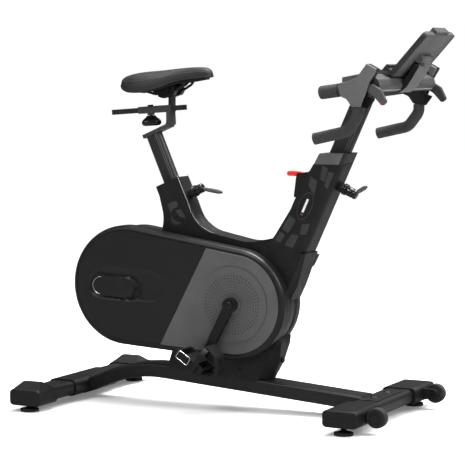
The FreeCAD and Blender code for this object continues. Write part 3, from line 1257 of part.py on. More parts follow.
def seat_head():
    plate = on_seat_axis(box(-HEAD_PLATE_BACK, HEAD_PLATE_AHEAD, -HEAD_PLATE_HALF, HEAD_PLATE_HALF,
                             SEAT_POST_TOP, SEAT_POST_TOP + HEAD_PLATE))
    neck = slab(corner_wire([(262, 752, 0), (NECK_X + 8, 764, 2), (NECK_X + 6, 800, 0), (NECK_X - 6, 800, 0),
                             (NECK_X - 6, 770, 6)]), -NECK_WIDTH / 2, NECK_WIDTH / 2)
    high = SLEEVE_HIGH
    wide = SLEEVE_WIDE
    sleeve = box(-SLEEVE_BACK, SLEEVE_AHEAD, -wide, wide, -high, high)
    sleeve = sleeve.makeFillet(2, [e for e in sleeve.Edges if e.BoundBox.XLength > 50])
    boss = rod_z(10, -SLIDER_KNOB_BACK, 0, -high - 5, -high + 1)
    bump = rod_z(8, -SLIDER_KNOB_BACK, 0, high - 1, high + 4)
    bump = bump.makeFillet(2, [e for e in bump.Edges if e.BoundBox.ZMin > high + 3.9])
    body = fuse([plate, neck, on_slider(fuse([sleeve, boss, bump]))])
    tunnel = box(-SLEEVE_BACK - 10, SLEEVE_AHEAD + 10, -BAR_WIDTH / 2 - BAR_FIT, BAR_WIDTH / 2 + BAR_FIT,
                 -BAR_HEIGHT / 2 - BAR_FIT, BAR_HEIGHT / 2 + BAR_FIT)
    slot = box(SADDLE_PIN_X - PIN_RADIUS - SLOT_LENGTH, SLEEVE_AHEAD + 10, -PIN_RADIUS - 1, PIN_RADIUS + 1, 0, 30)
    stud = rod_z(KNOB_STUD + STUD_CLEARANCE, -SLIDER_KNOB_BACK, 0, -40, 0)
    return cut(body, [on_slider(tunnel), on_slider(slot), on_slider(stud)])


def slider_knob():
    top = -SLEEVE_HIGH - 6
    x = -SLIDER_KNOB_BACK
    core = Part.makeCone(*KNOB_CORE, V(x, 0, top - KNOB_CORE[2]), Z_AXIS)
    lobes = []
    for i in range(3):
        a = radians(120 * i + 30)
        lobes.append(rod_z(KNOB_LOBE, x + KNOB_LOBE_OUT * cos(a), KNOB_LOBE_OUT * sin(a), top - 28, top - 12))
    lobes = [lobe.makeFillet(3, [e for e in lobe.Edges if e.BoundBox.ZLength < 1e-3]) for lobe in lobes]
    stud = rod_z(KNOB_STUD, x, 0, top - 5, -BAR_HEIGHT / 2 - 0.5)
    return on_slider(fuse([core, stud] + lobes))


def slider_bar():
    bar = box(-BAR_BACK, BAR_AHEAD, -BAR_WIDTH / 2, BAR_WIDTH / 2, -BAR_HEIGHT / 2, BAR_HEIGHT / 2)
    bar = on_slider(bar.makeFillet(1.5, [e for e in bar.Edges if e.BoundBox.XLength > 50]))
    x = NECK_X + SADDLE_PIN_X
    pin = rod_z(PIN_RADIUS, x, 0, SLEEVE_Z, CLAMP_Z - 4)
    eye = rod_y(CLAMP_EYE, x, CLAMP_Z, -CLAMP_EYE_HALF, CLAMP_EYE_HALF)
    return cut(fuse([bar, pin, eye]), rod_y(CLAMP_BOLT + CLAMP_FIT, x, CLAMP_Z, -FAR, FAR))


def saddle_clamp():
    x = NECK_X + SADDLE_PIN_X
    outline = corner_wire(CLAMP_OUTLINE)
    cheeks = []
    for side in (-1, 1):
        near, far = between(side, CHEEK_NEAR, CHEEK_FAR)
        cheeks.append(slab(outline, near, far))
    bolt = rod_y(CLAMP_BOLT, 0, 0, -33, 33)
    heads = [rod_y(9, 0, 0, s * 31 - 2, s * 31 + 2) for s in (-1, 1)]
    body = fuse(cheeks + [bolt] + heads)
    body.translate(V(x, 0, CLAMP_Z))
    return cut(body, [rail(-1), rail(1)])


def rail(side):
    path = [(x, side * RAIL_HALF_GAP * share, z) for x, share, z in RAIL_PATH]
    return round_bar(path, RAIL_RADIUS, RAIL_BEND)


def saddle_rails():
    return Part.makeCompound([rail(-1), rail(1)])


def saddle_section(x, half, crown, rim, thick, drop):
    """Closed cross section: domed top, arched underside."""
    rise = crown - rim
    flank = [(1, 0), (0.97, 0.45), (0.66, 0.84)]
    top = [V(x, half * out, rim + rise * up - drop) for out, up in flank]
    top.append(V(x, 0, crown - drop))
    top += [V(x, -half * out, rim + rise * up - drop) for out, up in reversed(flank)]
    arch = rim + rise * 0.5 - thick * 0.5 - drop
    under = [V(x, -half, rim - drop), V(x, -half * 0.6, arch), V(x, 0, crown - thick - drop),
             V(x, half * 0.6, arch), V(x, half, rim - drop)]
    upper = Part.BSplineCurve()
    upper.interpolate(top)
    lower = Part.BSplineCurve()
    lower.interpolate(under)
    return Part.Wire([upper.toShape(), lower.toShape()])


def saddle_pad():
    wires = [saddle_section(x, half, crown, rim, PAD_THICK, 0) for x, half, crown, rim in SADDLE_STATIONS]
    return Part.makeLoft(wires, True, True)


def saddle_shell():
    wires = []
    for x, half, crown, rim in SADDLE_STATIONS[1:-1]:
        wires.append(saddle_section(x, half - SHELL_INSET, crown - PAD_THICK - SHELL_GAP, rim + SHELL_GAP,
                                    SHELL_THICK, SHELL_DROP))
    shell = Part.makeLoft(wires, True, True)
    return cut(shell, [saddle_pad(), rail(-1), rail(1)])


# ----------------------------------------------------------- handlebar stack
def stem_outer():
    rise = tan(radians(STEM_TILT))
    climb = rise * (STEM_FRONT - STEM_BACK)
    high = STEM_LOW + STEM_HEIGHT
    corners = [(STEM_BACK, STEM_LOW, 3), (STEM_FRONT, STEM_LOW + climb, 3), (STEM_FRONT, high + climb, 3),
               (STEM_BACK, high, 3)]
    return slab(corner_wire(corners), -STEM_WIDTH / 2, STEM_WIDTH / 2)


def bar_post():
    post = on_mast_axis(hollow_post(BAR_POST_DEPTH, BAR_POST_WIDTH, -BAR_POST_BELOW, BAR_POST_ABOVE))
    return keep_largest(post.cut(stem_outer().fuse(box(780, 1000, -40, 40, 880, 1000))))


def keep_largest(shape):
    return max(shape.Solids, key=lambda s: s.Volume)


def wing():
    return slab(corner_wire(WING), -HOOD_Y + WING_SHORT, HOOD_Y - WING_SHORT)


def bar_stem():
    return keep_largest(stem_outer().cut([wing(), bar_cover_outer()]))


def drop_bar(radius, side, path, bend):
    points = [(x, side * HOOD_Y, z) for x, z in path]
    return round_bar(points, radius, bend)


def handlebar():
    pieces = [wing()]
    for side in (-1, 1):
        pieces.append(drop_bar(DROP_RADIUS, side, DROP_PATH, DROP_BEND))
        pieces.append(drop_bar(DROP_RADIUS, side, TOP_PATH, TOP_BEND))
        near, far = between(side, HOOD_Y - 16, HOOD_Y)
        pieces.append(rod_y(WING_PIN, TOP_PATH[-1][0], TOP_PATH[-1][1] - 2, near, far))
    return fuse(pieces)


def grips():
    """Rubber sleeves: one over the whole of each drop, one over each upper end."""
    pieces = []
    for side in (-1, 1):
        path = [LOWER_GRIP_START] + DROP_PATH[1:3] + [(DROP_PATH[-1][0], DROP_GRIP_TOP)]
        lower = drop_bar(GRIP_RADIUS, side, path, DROP_BEND)
        way = (V(TOP_PATH[1][0], 0, TOP_PATH[1][1]) - V(TOP_PATH[0][0], 0, TOP_PATH[0][1])).normalize()
        x, z = UPPER_GRIP_START
        upper = Part.makeCylinder(UPPER_GRIP_RADIUS, UPPER_GRIP_LENGTH, V(x, side * HOOD_Y, z), way)
        upper = fillet_some(upper, 6, lambda e: e.BoundBox.XMax < x + 5 and e.BoundBox.XLength < 8)
        pieces += [lower, upper]
    bars = handlebar()
    return Part.makeCompound([keep_largest(p.cut(bars)) for p in pieces])


def hood(side):
    near, far = between(side, HOOD_Y - HOOD_HALF, HOOD_Y + HOOD_HALF)
    body = slab(corner_wire(HOOD), near, far)
    body = body.makeFillet(HOOD_ROUND, [e for e in body.Edges if e.BoundBox.YLength < 1e-3])
    near, far = between(side, HOOD_Y - HOOD_HALF + 1, HOOD_Y - HOOD_SLOT_HALF - 0.5)
    block = slab(corner_wire(HOOD_BLOCK), near, far)
    body = fuse([body, block])
    middle = side * HOOD_Y
    slot = box(930, 990, middle - HOOD_SLOT_HALF, middle + HOOD_SLOT_HALF, 822, 884)
    pin = rod_y(HOOD_PIN, LEVER_PIVOT_X, LEVER_PIVOT_Z, middle - 8, middle + 8)
    return body.cut([slot, handlebar()]).fuse(pin).removeSplitter()


def hoods():
    return Part.makeCompound([hood(-1), hood(1)])


def hood_lever(side):
    near, far = side * HOOD_Y - HOOD_LEVER_HALF, side * HOOD_Y + HOOD_LEVER_HALF
    blade = slab(corner_wire(HOOD_LEVER), near, far)
    blade = blade.makeFillet(2, [e for e in blade.Edges if e.BoundBox.YLength < 1e-3])
    hub = rod_y(HOOD_LEVER_HALF + 0.5, LEVER_PIVOT_X, LEVER_PIVOT_Z, near, far)
    return cut(fuse([blade, hub]), rod_y(HOOD_PIN + HOOD_PIN_FIT, LEVER_PIVOT_X, LEVER_PIVOT_Z, near - 2, far + 2))


def bar_cover_outer():
    return slab(corner_wire(BAR_COVER), -BAR_COVER_HALF, BAR_COVER_HALF)


def bar_cover():
    knuckle = rod_y(HINGE_RADIUS, HINGE_X, HINGE_Z, -HINGE_MID, HINGE_MID)
    support = box(HINGE_X - HINGE_WEB, HINGE_X + HINGE_WEB, -HINGE_MID, HINGE_MID, HINGE_Z - 18, HINGE_Z - 3)
    body = fuse([bar_cover_outer().cut(wing()), knuckle, support])
    return cut(keep_largest(body), rod_y(HINGE_PIN + HINGE_FIT, HINGE_X, HINGE_Z, -FAR, FAR))


def on_tablet(shape):
    return lean(shape, PLATE_X, PLATE_Z, 90 - TABLET_TILT)


def tablet_holder():
    """Built with Z up the plate and -X towards the rider, then tipped into place."""
    half = TABLET_THICK / 2
    wide = TABLET_WIDTH / 2
    plate = box(-half, half, -wide, wide, 0, TABLET_LENGTH)
    plate = plate.makeFillet(TABLET_ROUND, [e for e in plate.Edges if e.BoundBox.XLength > 5 and e.BoundBox.ZMin > 100
                                  and e.BoundBox.ZLength < 1e-3 and e.BoundBox.YLength < 1e-3])
    ledge = box(-LEDGE_OUT, half, -wide, wide, -LEDGE_THICK, 0)
    lip = box(-LEDGE_OUT, -LEDGE_OUT + LIP_THICK, -wide, wide, -LIP_LOW, LIP_HIGH)
    lip = lip.makeFillet(2.5, [e for e in lip.Edges if e.BoundBox.YLength > 100])
    along = HINGE_AT_T
    behind = HINGE_AT_N
    knuckles = []
    for side in (-1, 1):
        near, far = between(side, HINGE_SIDE, HINGE_END)
        knuckles.append(rod_y(HINGE_RADIUS, behind, along, near, far))
        knuckles.append(box(0, behind, near, far, along - HINGE_RADIUS, along + HINGE_RADIUS))
    pin = rod_y(HINGE_PIN, behind, along, -HINGE_END, HINGE_END)
    body = fuse([plate, ledge, lip] + knuckles)
    body = body.cut([rod_z(CLIP_ROD + CLIP_ROD_FIT, 0, s * CLIP_ROD_Y, TABLET_LENGTH - CLIP_ROD_DOWN - 4,
                           TABLET_LENGTH + 5) for s in (-1, 1)])
    body = body.cut(rod_y(HINGE_RADIUS + HINGE_SWEEP, behind, along, -HINGE_SIDE, HINGE_SIDE))
    return on_tablet(body.fuse(pin).removeSplitter())


def tablet_clip():
    top = TABLET_LENGTH
    face = -TABLET_THICK / 2
    bar = box(face - CLIP_OUT, CLIP_REAR, -CLIP_HALF, CLIP_HALF, top + CLIP_GAP, top + CLIP_TOP)
    lip = box(face - CLIP_OUT, face - 0.5, -CLIP_HALF, CLIP_HALF, top - CLIP_LIP, top + CLIP_TOP)
    rods = [rod_z(CLIP_ROD, 0, s * CLIP_ROD_Y, top - CLIP_ROD_DOWN, top + 2) for s in (-1, 1)]
    return on_tablet(fuse([bar, lip] + rods))


# ----------------------------------------------------------------- pull pins
def pull_knob(half_depth, station, collar_end, shape):
    """Spring pin with a turned body and an L shaped handle, along +X of its post's frame."""
    body_to, tip_along, tip_across = shape
    pin = rod_x(PIN_RADIUS_PULL, half_depth + PIN_GAP, collar_end + 9, 0, station)
    ring = rod_x(KNOB_RING, collar_end + PIN_GAP, collar_end + 9, 0, station)
    ring = ring.makeFillet(1.5, [e for e in ring.Edges if e.BoundBox.XLength < 1e-3])
    body = rod_x(KNOB_RADIUS, collar_end + 8, body_to, 0, station)
    body = body.makeFillet(2, [e for e in body.Edges if e.BoundBox.XMin > body_to - 1e-3])
    root = V(body_to - 7, 0, station)
    tip = V(tip_along, 0, station + tip_across)
    handle = Part.makeCylinder(HANDLE_RADIUS, (tip - root).Length, root, tip - root)
    handle = handle.fuse(Part.makeSphere(HANDLE_RADIUS, tip))
    return fuse([pin, ring, body, handle])


def seat_pin_knob():
    return on_seat_axis(pull_knob(POST_DEPTH / 2, SEAT_PIN_AT, SEAT_COLLAR_END, SEAT_KNOB))


def mast_pin_knob():
    return on_mast_axis(pull_knob(BAR_POST_DEPTH / 2, MAST_PIN_AT, MAST_COLLAR_END, MAST_KNOB))


# -------------------------------------------------------------------- export
def all_nodes():
    casing_left, casing_right = casing_halves()
    cover_left, cover_right = cover_halves()
    rear_foot_y = REAR_HALF_WIDTH - FOOT_INSET_REAR
    front_foot_y = FRONT_HALF_WIDTH - FOOT_INSET_FRONT
    nodes = {
        "main_beam": main_beam(),
        "rear_stabiliser": rear_tube(),
        "front_stabiliser": front_stabiliser(),
        "stabiliser_brackets": brackets(),
        "rear_end_caps": both_sides(rear_cap),
        "front_end_caps": both_sides(front_cap),
        "base_bolts": base_bolts(),
        "wheel_left": wheel(),
        "wheel_right": mirrored(wheel()),
        "foot_rear_left": foot(0, rear_foot_y),
        "foot_rear_right": foot(0, -rear_foot_y),
        "foot_front_left": foot(FRONT_X, front_foot_y),
        "foot_front_right": foot(FRONT_X, -front_foot_y),
        "frame_tubes": frame_tubes(),
        "bearings": bearings(),
        "post_bushes": post_bushes(),
        "body_cover_left": cover_left,
        "body_cover_right": cover_right,
        "mast_top_cap": mast_top_cap(),
        "casing_left": casing_left,
        "casing_right": casing_right,
        "side_panels": side_panels(),
        "badge_plates": badge_plates(),
        "cover_screws": cover_screws(),
        "power_inlet": power_inlet(),
        "crank_axle": crank_axle(),
        "crank_right": crank_arm(-1),
        "crank_left": crank_arm(1),
        "crank_discs": crank_discs(),
        "drive_pulley": drive_pulley(),
        "drive_belt": drive_belt(),
        "flywheel": flywheel(),
        "flywheel_axle": flywheel_axle(),
        "magnet_brake": magnet_brake(),
        "brake_lever": brake_lever(),
        "pedal_spindles": pedal_spindles(),
        "pedal_right": pedal(-1),
        "pedal_left": pedal(1),
        "toe_cage_right": toe_cage(-1),
        "toe_cage_left": toe_cage(1),
        "seat_post": seat_post(),
        "seat_head": seat_head(),
        "seat_pin_knob": seat_pin_knob(),
        "slider_bar": slider_bar(),
        "slider_knob": slider_knob(),
        "saddle_clamp": saddle_clamp(),
        "saddle_rails": saddle_rails(),
        "saddle_shell": saddle_shell(),
        "saddle_pad": saddle_pad(),
        "bar_post": bar_post(),
        "mast_pin_knob": mast_pin_knob(),
        "bar_stem": bar_stem(),
        "handlebar": handlebar(),
        "bar_cover": bar_cover(),
        "grips": grips(),
        "hoods": hoods(),
        "lever_right": hood_lever(-1),
        "lever_left": hood_lever(1),
        "tablet_holder": tablet_holder(),
        "tablet_clip": tablet_clip(),
    }
    return nodes


def main():
    os.makedirs("parts", exist_ok=True)
    for name, shape in all_nodes().items():
        moved = shape.copy()
        moved.translate(V(-MIDDLE_X, 0, 0))
        moved.exportStep("parts/" + name + ".step")


if __name__ == "__main__":
    main()
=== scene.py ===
from math import atan2, cos, pi, radians, sin, sqrt

import bmesh
import bpy
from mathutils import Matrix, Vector


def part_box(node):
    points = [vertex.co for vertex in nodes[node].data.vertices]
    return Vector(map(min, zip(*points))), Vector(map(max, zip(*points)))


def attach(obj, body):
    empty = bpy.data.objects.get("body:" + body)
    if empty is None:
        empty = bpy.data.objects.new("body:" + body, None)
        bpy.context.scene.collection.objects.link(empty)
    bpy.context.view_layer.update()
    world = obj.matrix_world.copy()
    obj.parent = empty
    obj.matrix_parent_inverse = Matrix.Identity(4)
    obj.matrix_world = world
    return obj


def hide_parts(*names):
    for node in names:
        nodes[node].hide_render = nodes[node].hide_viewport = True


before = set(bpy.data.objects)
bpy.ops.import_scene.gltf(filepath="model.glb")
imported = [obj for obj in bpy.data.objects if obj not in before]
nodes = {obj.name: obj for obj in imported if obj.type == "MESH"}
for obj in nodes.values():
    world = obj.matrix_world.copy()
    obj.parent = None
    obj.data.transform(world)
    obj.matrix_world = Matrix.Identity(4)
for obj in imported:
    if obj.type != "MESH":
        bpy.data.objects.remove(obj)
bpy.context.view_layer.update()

# Everything below is written in millimetres along the bike, measured from the
# rear feet, and MIDDLE brings that to the frame's own origin.
CRANK = Vector((505.0, 0, 292.0))
crank_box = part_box("crank_axle")
MIDDLE = CRANK.x - 1000 * (crank_box[0][0] + crank_box[1][0]) / 2


def at(x, y, z):
    return Vector(((x - MIDDLE) / 1000, y / 1000, z / 1000))


# ------------------------------------------------------------------ materials
class Nodes:
    """Small helper for building a node material."""

    def __init__(self, name):
        self.material = bpy.data.materials.new(name)
        self.material.use_nodes = True
        self.tree = self.material.node_tree
        self.shader = self.tree.nodes["Principled BSDF"]
        self.coords = self.add("ShaderNodeTexCoord").outputs["Object"]

    def add(self, kind, **settings):
        node = self.tree.nodes.new(kind)
        for key, value in settings.items():
            setattr(node, key, value)
        return node

    def link(self, output, socket):
        self.tree.links.new(output, socket)

    def noise(self, scale, detail=3.0, rough=0.5, stretch=None):
        tex = self.add("ShaderNodeTexNoise")
        tex.inputs["Scale"].default_value = scale
        tex.inputs["Detail"].default_value = detail
        tex.inputs["Roughness"].default_value = rough
        source = self.coords
        if stretch:
            mapping = self.add("ShaderNodeMapping")
            mapping.inputs["Scale"].default_value = stretch
            self.link(self.coords, mapping.inputs["Vector"])
            source = mapping.outputs["Vector"]
        self.link(source, tex.inputs["Vector"])
        return tex.outputs["Fac"]

    def ramp(self, source, low, high, start=0.35, end=0.65):
        ramp = self.add("ShaderNodeValToRGB")
        ramp.color_ramp.elements[0].position = start
        ramp.color_ramp.elements[0].color = low
        ramp.color_ramp.elements[1].position = end
        ramp.color_ramp.elements[1].color = high
        self.link(source, ramp.inputs["Fac"])
        return ramp.outputs["Color"]

    def spread(self, source, low, high):
        span = self.add("ShaderNodeMapRange")
        span.inputs["To Min"].default_value = low
        span.inputs["To Max"].default_value = high
        self.link(source, span.inputs["Value"])
        return span.outputs["Result"]

    def math(self, operation, a, b=None):
        node = self.add("ShaderNodeMath", operation=operation)
        for socket, value in zip(node.inputs, (a, b)):
            if value is None:
                continue
            if isinstance(value, (int, float)):
                socket.default_value = value
            else:
                self.link(value, socket)
        return node.outputs[0]

    def bump(self, height, strength, distance, under=None):
        node = self.add("ShaderNodeBump")
        node.inputs["Strength"].default_value = strength
        node.inputs["Distance"].default_value = distance
        self.link(height, node.inputs["Height"])
        if under is not None:
            self.link(under, node.inputs["Normal"])
        return node.outputs["Normal"]


def grey(value, warm=0.0):
    return (value * (1 + warm), value, value * (1 - warm), 1)


def finish_colour(m, colour, vary=0.12, scale=9.0):
    """Base colour with broad, slight variation and edge wear."""
    r, g, b = colour[:3]
    low = (r * (1 - vary), g * (1 - vary), b * (1 - vary), 1)
    high = (r * (1 + vary), g * (1 + vary), b * (1 + vary), 1)
    base = m.ramp(m.noise(scale, 4, 0.6), low, high)
    geometry = m.add("ShaderNodeNewGeometry")
    edge = m.ramp(geometry.outputs["Pointiness"], (0, 0, 0, 1), (1, 1, 1, 1), 0.52, 0.60)
    worn = m.math("MULTIPLY", edge, m.ramp(m.noise(55, 3), (0, 0, 0, 1), (1, 1, 1, 1), 0.45, 0.7))
    mix = m.add("ShaderNodeMix", data_type="RGBA")
    m.link(m.math("MULTIPLY", worn, 0.35), mix.inputs["Factor"])
    m.link(base, mix.inputs["A"])
    mix.inputs["B"].default_value = (r * 1.5 + 0.006, g * 1.5 + 0.006, b * 1.5 + 0.006, 1)
    m.link(mix.outputs["Result"], m.shader.inputs["Base Color"])


def plastic(name, colour, rough=0.45, grain=2600.0, grain_strength=0.25, vary=0.12, specular=0.32):
    """Moulded plastic with a fine spark-eroded grain."""
    m = Nodes(name)
    finish_colour(m, colour, vary)
    m.link(m.spread(m.noise(14, 5), rough - 0.07, rough + 0.09), m.shader.inputs["Roughness"])
    fine = m.noise(grain, 2, 0.6)
    coarse = m.noise(grain / 9, 3, 0.5)
    under = m.bump(coarse, grain_strength * 0.5, 0.0004)
    m.link(m.bump(fine, grain_strength, 0.00025, under), m.shader.inputs["Normal"])
    m.shader.inputs["Specular IOR Level"].default_value = specular
    return m.material


def powder_coat(name, colour, rough=0.38):
    """Satin powder coat with orange peel and fine sparkle."""
    m = Nodes(name)
    finish_colour(m, colour, 0.10, 6.0)
    m.link(m.spread(m.noise(20, 4), rough - 0.06, rough + 0.10), m.shader.inputs["Roughness"])
    peel = m.noise(420, 2, 0.4)
    fine = m.noise(3200, 2, 0.6)
    m.link(m.bump(fine, 0.18, 0.0002, m.bump(peel, 0.22, 0.0005)), m.shader.inputs["Normal"])
    m.shader.inputs["Coat Weight"].default_value = 0.06
    m.shader.inputs["Specular IOR Level"].default_value = 0.35
    m.shader.inputs["Coat Roughness"].default_value = 0.25
    return m.material


def metal(name, colour, rough=0.25, brushed=True):
    m = Nodes(name)
    finish_colour(m, colour, 0.08, 30.0)
    streak = m.noise(260, 4, 0.6, (1, 14, 1) if brushed else None)
    m.link(m.spread(streak, rough - 0.08, rough + 0.12), m.shader.inputs["Roughness"])
    m.link(m.bump(streak, 0.12, 0.0002), m.shader.inputs["Normal"])
    m.shader.inputs["Metallic"].default_value = 1.0
    return m.material


def rubber(name, colour, rough=0.7, ribs=None):
    m = Nodes(name)
    finish_colour(m, colour, 0.15, 25.0)
    m.link(m.spread(m.noise(60, 4), rough - 0.1, rough + 0.12), m.shader.inputs["Roughness"])
    under = m.bump(m.noise(1500, 3, 0.6), 0.35, 0.0003)
    if ribs:
        wave = m.add("ShaderNodeTexWave", wave_type="BANDS", bands_direction=ribs[0])
        wave.inputs["Scale"].default_value = ribs[1]
        wave.inputs["Distortion"].default_value = 0.0
        m.link(m.coords, wave.inputs["Vector"])
        under = m.bump(wave.outputs["Fac"], 0.4, 0.0006, under)
    m.link(under, m.shader.inputs["Normal"])
    return m.material


def leather(name, colour):
    """Pebbled synthetic leather: cells for the grain, noise for sheen and scuffs."""
    m = Nodes(name)
    finish_colour(m, colour, 0.16, 18.0)
    m.link(m.spread(m.noise(34, 5), 0.46, 0.66), m.shader.inputs["Roughness"])
    cells = m.add("ShaderNodeTexVoronoi", feature="DISTANCE_TO_EDGE")
    cells.inputs["Scale"].default_value = 620.0
    m.link(m.coords, cells.inputs["Vector"])
    edge = m.ramp(cells.outputs["Distance"], (0, 0, 0, 1), (1, 1, 1, 1), 0.0, 0.12)
    under = m.bump(m.noise(180, 4, 0.6), 0.30, 0.0007)
    m.link(m.bump(edge, 0.45, 0.0003, under), m.shader.inputs["Normal"])
    m.shader.inputs["Specular IOR Level"].default_value = 0.32
    return m.material


def two_tone(name, centre_colour, side_colour, start, rough=0.44, offset=0.0, painted_shade_top=None):
    """Moulding whose flat sides differ from its middle.

    Inner sides below a given height keep the middle's dark colour as painted shade, where light does not reach them.
    """
    m = Nodes(name)
    split = m.add("ShaderNodeSeparateXYZ")
    m.link(m.coords, split.inputs["Vector"])
    away = m.math("ABSOLUTE", m.math("SUBTRACT", m.math("ABSOLUTE", split.outputs["Y"]), offset / 1000))
    outer = m.math("GREATER_THAN", away, start / 1000)
    # painted shade: inner sides below this height take the dark middle colour
    if painted_shade_top:
        outside = m.math("GREATER_THAN", m.math("ABSOLUTE", split.outputs["Y"]), offset / 1000)
        above = m.math("GREATER_THAN", split.outputs["Z"], painted_shade_top / 1000)
        outer = m.math("MULTIPLY", outer, m.math("MAXIMUM", outside, above))
    mix = m.add("ShaderNodeMix", data_type="RGBA")
    m.link(outer, mix.inputs["Factor"])
    mottled = m.noise(12, 4)
    for socket, colour in (("A", centre_colour), ("B", side_colour)):
        low = tuple(c * 0.88 for c in colour[:3]) + (1,)
        high = tuple(c * 1.12 for c in colour[:3]) + (1,)
        m.link(m.ramp(mottled, low, high), mix.inputs[socket])
    m.link(mix.outputs["Result"], m.shader.inputs["Base Color"])
    m.link(m.spread(m.noise(16, 4), rough - 0.07, rough + 0.08), m.shader.inputs["Roughness"])
    fine = m.bump(m.noise(2400, 2, 0.6), 0.22, 0.00025)
    m.link(m.bump(m.math("SUBTRACT", 1.0, outer), 0.35, 0.0006, fine), m.shader.inputs["Normal"])
    m.shader.inputs["Specular IOR Level"].default_value = 0.32
    return m.material


HOLE_STEP = 0.0076                    # guard disc holes, metres
HOLE_ROWS = 52.0
HOLES_FROM, HOLES_TO = 0.026, 0.084


def perforated(name, colour, hole):
    """Guard disc: tiny holes in rows that fan out from the crank axis."""
    m = Nodes(name)
    split = m.add("ShaderNodeSeparateXYZ")
    m.link(m.coords, split.inputs["Vector"])
    centre = at(CRANK.x, 0, CRANK.z)
    dx = m.math("SUBTRACT", split.outputs["X"], centre.x)
    dz = m.math("SUBTRACT", split.outputs["Z"], centre.z)
    radius = m.math("SQRT", m.math("ADD", m.math("MULTIPLY", dx, dx), m.math("MULTIPLY", dz, dz)))
    turn = m.math("ARCTAN2", dz, dx)
    rings = m.math("SINE", m.math("MULTIPLY", radius, 2 * pi / HOLE_STEP))
    spokes = m.math("SINE", m.math("MULTIPLY", turn, HOLE_ROWS))
    dots = m.math("GREATER_THAN", m.math("MINIMUM", rings, spokes), 0.05)
    inside = m.math("MULTIPLY", m.math("GREATER_THAN", radius, HOLES_FROM), m.math("LESS_THAN", radius, HOLES_TO))
    dots = m.math("MULTIPLY", dots, inside)
    mix = m.add("ShaderNodeMix", data_type="RGBA")
    m.link(dots, mix.inputs["Factor"])
    low = tuple(c * 0.9 for c in colour[:3]) + (1,)
    high = tuple(c * 1.1 for c in colour[:3]) + (1,)
    m.link(m.ramp(m.noise(12, 4), low, high), mix.inputs["A"])
    mix.inputs["B"].default_value = hole
    m.link(mix.outputs["Result"], m.shader.inputs["Base Color"])
    m.link(m.spread(m.noise(40, 3), 0.42, 0.58), m.shader.inputs["Roughness"])
    height = m.math("SUBTRACT", 1.0, dots)
    m.link(m.bump(height, 0.7, 0.0006, m.bump(m.noise(2400, 2), 0.2, 0.0002)), m.shader.inputs["Normal"])
    return m.material


SEAT_AXIS = (278.6, 614.0, -23.4)     # X, Z of a point and degrees from vertical
MAST_AXIS = (837.8, 828.0, 24.4)


def ridged_post(name, colour, axis, ridges, ridge_highlight_colour):
    """Satin extrusion with fine raised ribs that run along the post; the ribs' lighter colour is a painted highlight.
    """
    m = Nodes(name)
    x0, z0, lean = axis
    tilt = radians(lean)
    origin = at(x0, 0, z0)
    split = m.add("ShaderNodeSeparateXYZ")
    m.link(m.coords, split.inputs["Vector"])
    across = m.math("SUBTRACT",
                    m.math("MULTIPLY", m.math("SUBTRACT", split.outputs["X"], origin.x), cos(tilt)),
                    m.math("MULTIPLY", m.math("SUBTRACT", split.outputs["Z"], origin.z), sin(tilt)))
    lines = None
    for place, half in ridges:
        near = m.math("ABSOLUTE", m.math("SUBTRACT", across, place / 1000))
        line = m.math("LESS_THAN", near, half / 1000)
        lines = line if lines is None else m.math("MAXIMUM", lines, line)
    mix = m.add("ShaderNodeMix", data_type="RGBA")
    m.link(lines, mix.inputs["Factor"])
    low = (colour[0] * 0.85, colour[1] * 0.85, colour[2] * 0.85, 1)
    high = (colour[0] * 1.15, colour[1] * 1.15, colour[2] * 1.15, 1)
    m.link(m.ramp(m.noise(10, 4), low, high), mix.inputs["A"])
    # painted highlight: the ribs get the lighter colour
    mix.inputs["B"].default_value = ridge_highlight_colour
    m.link(mix.outputs["Result"], m.shader.inputs["Base Color"])
    m.link(m.spread(m.noise(22, 4), 0.30, 0.44), m.shader.inputs["Roughness"])
    fine = m.bump(m.noise(3000, 2), 0.16, 0.0002)
    m.link(m.bump(lines, 0.8, 0.0008, fine), m.shader.inputs["Normal"])
    m.shader.inputs["Specular IOR Level"].default_value = 0.4
    return m.material


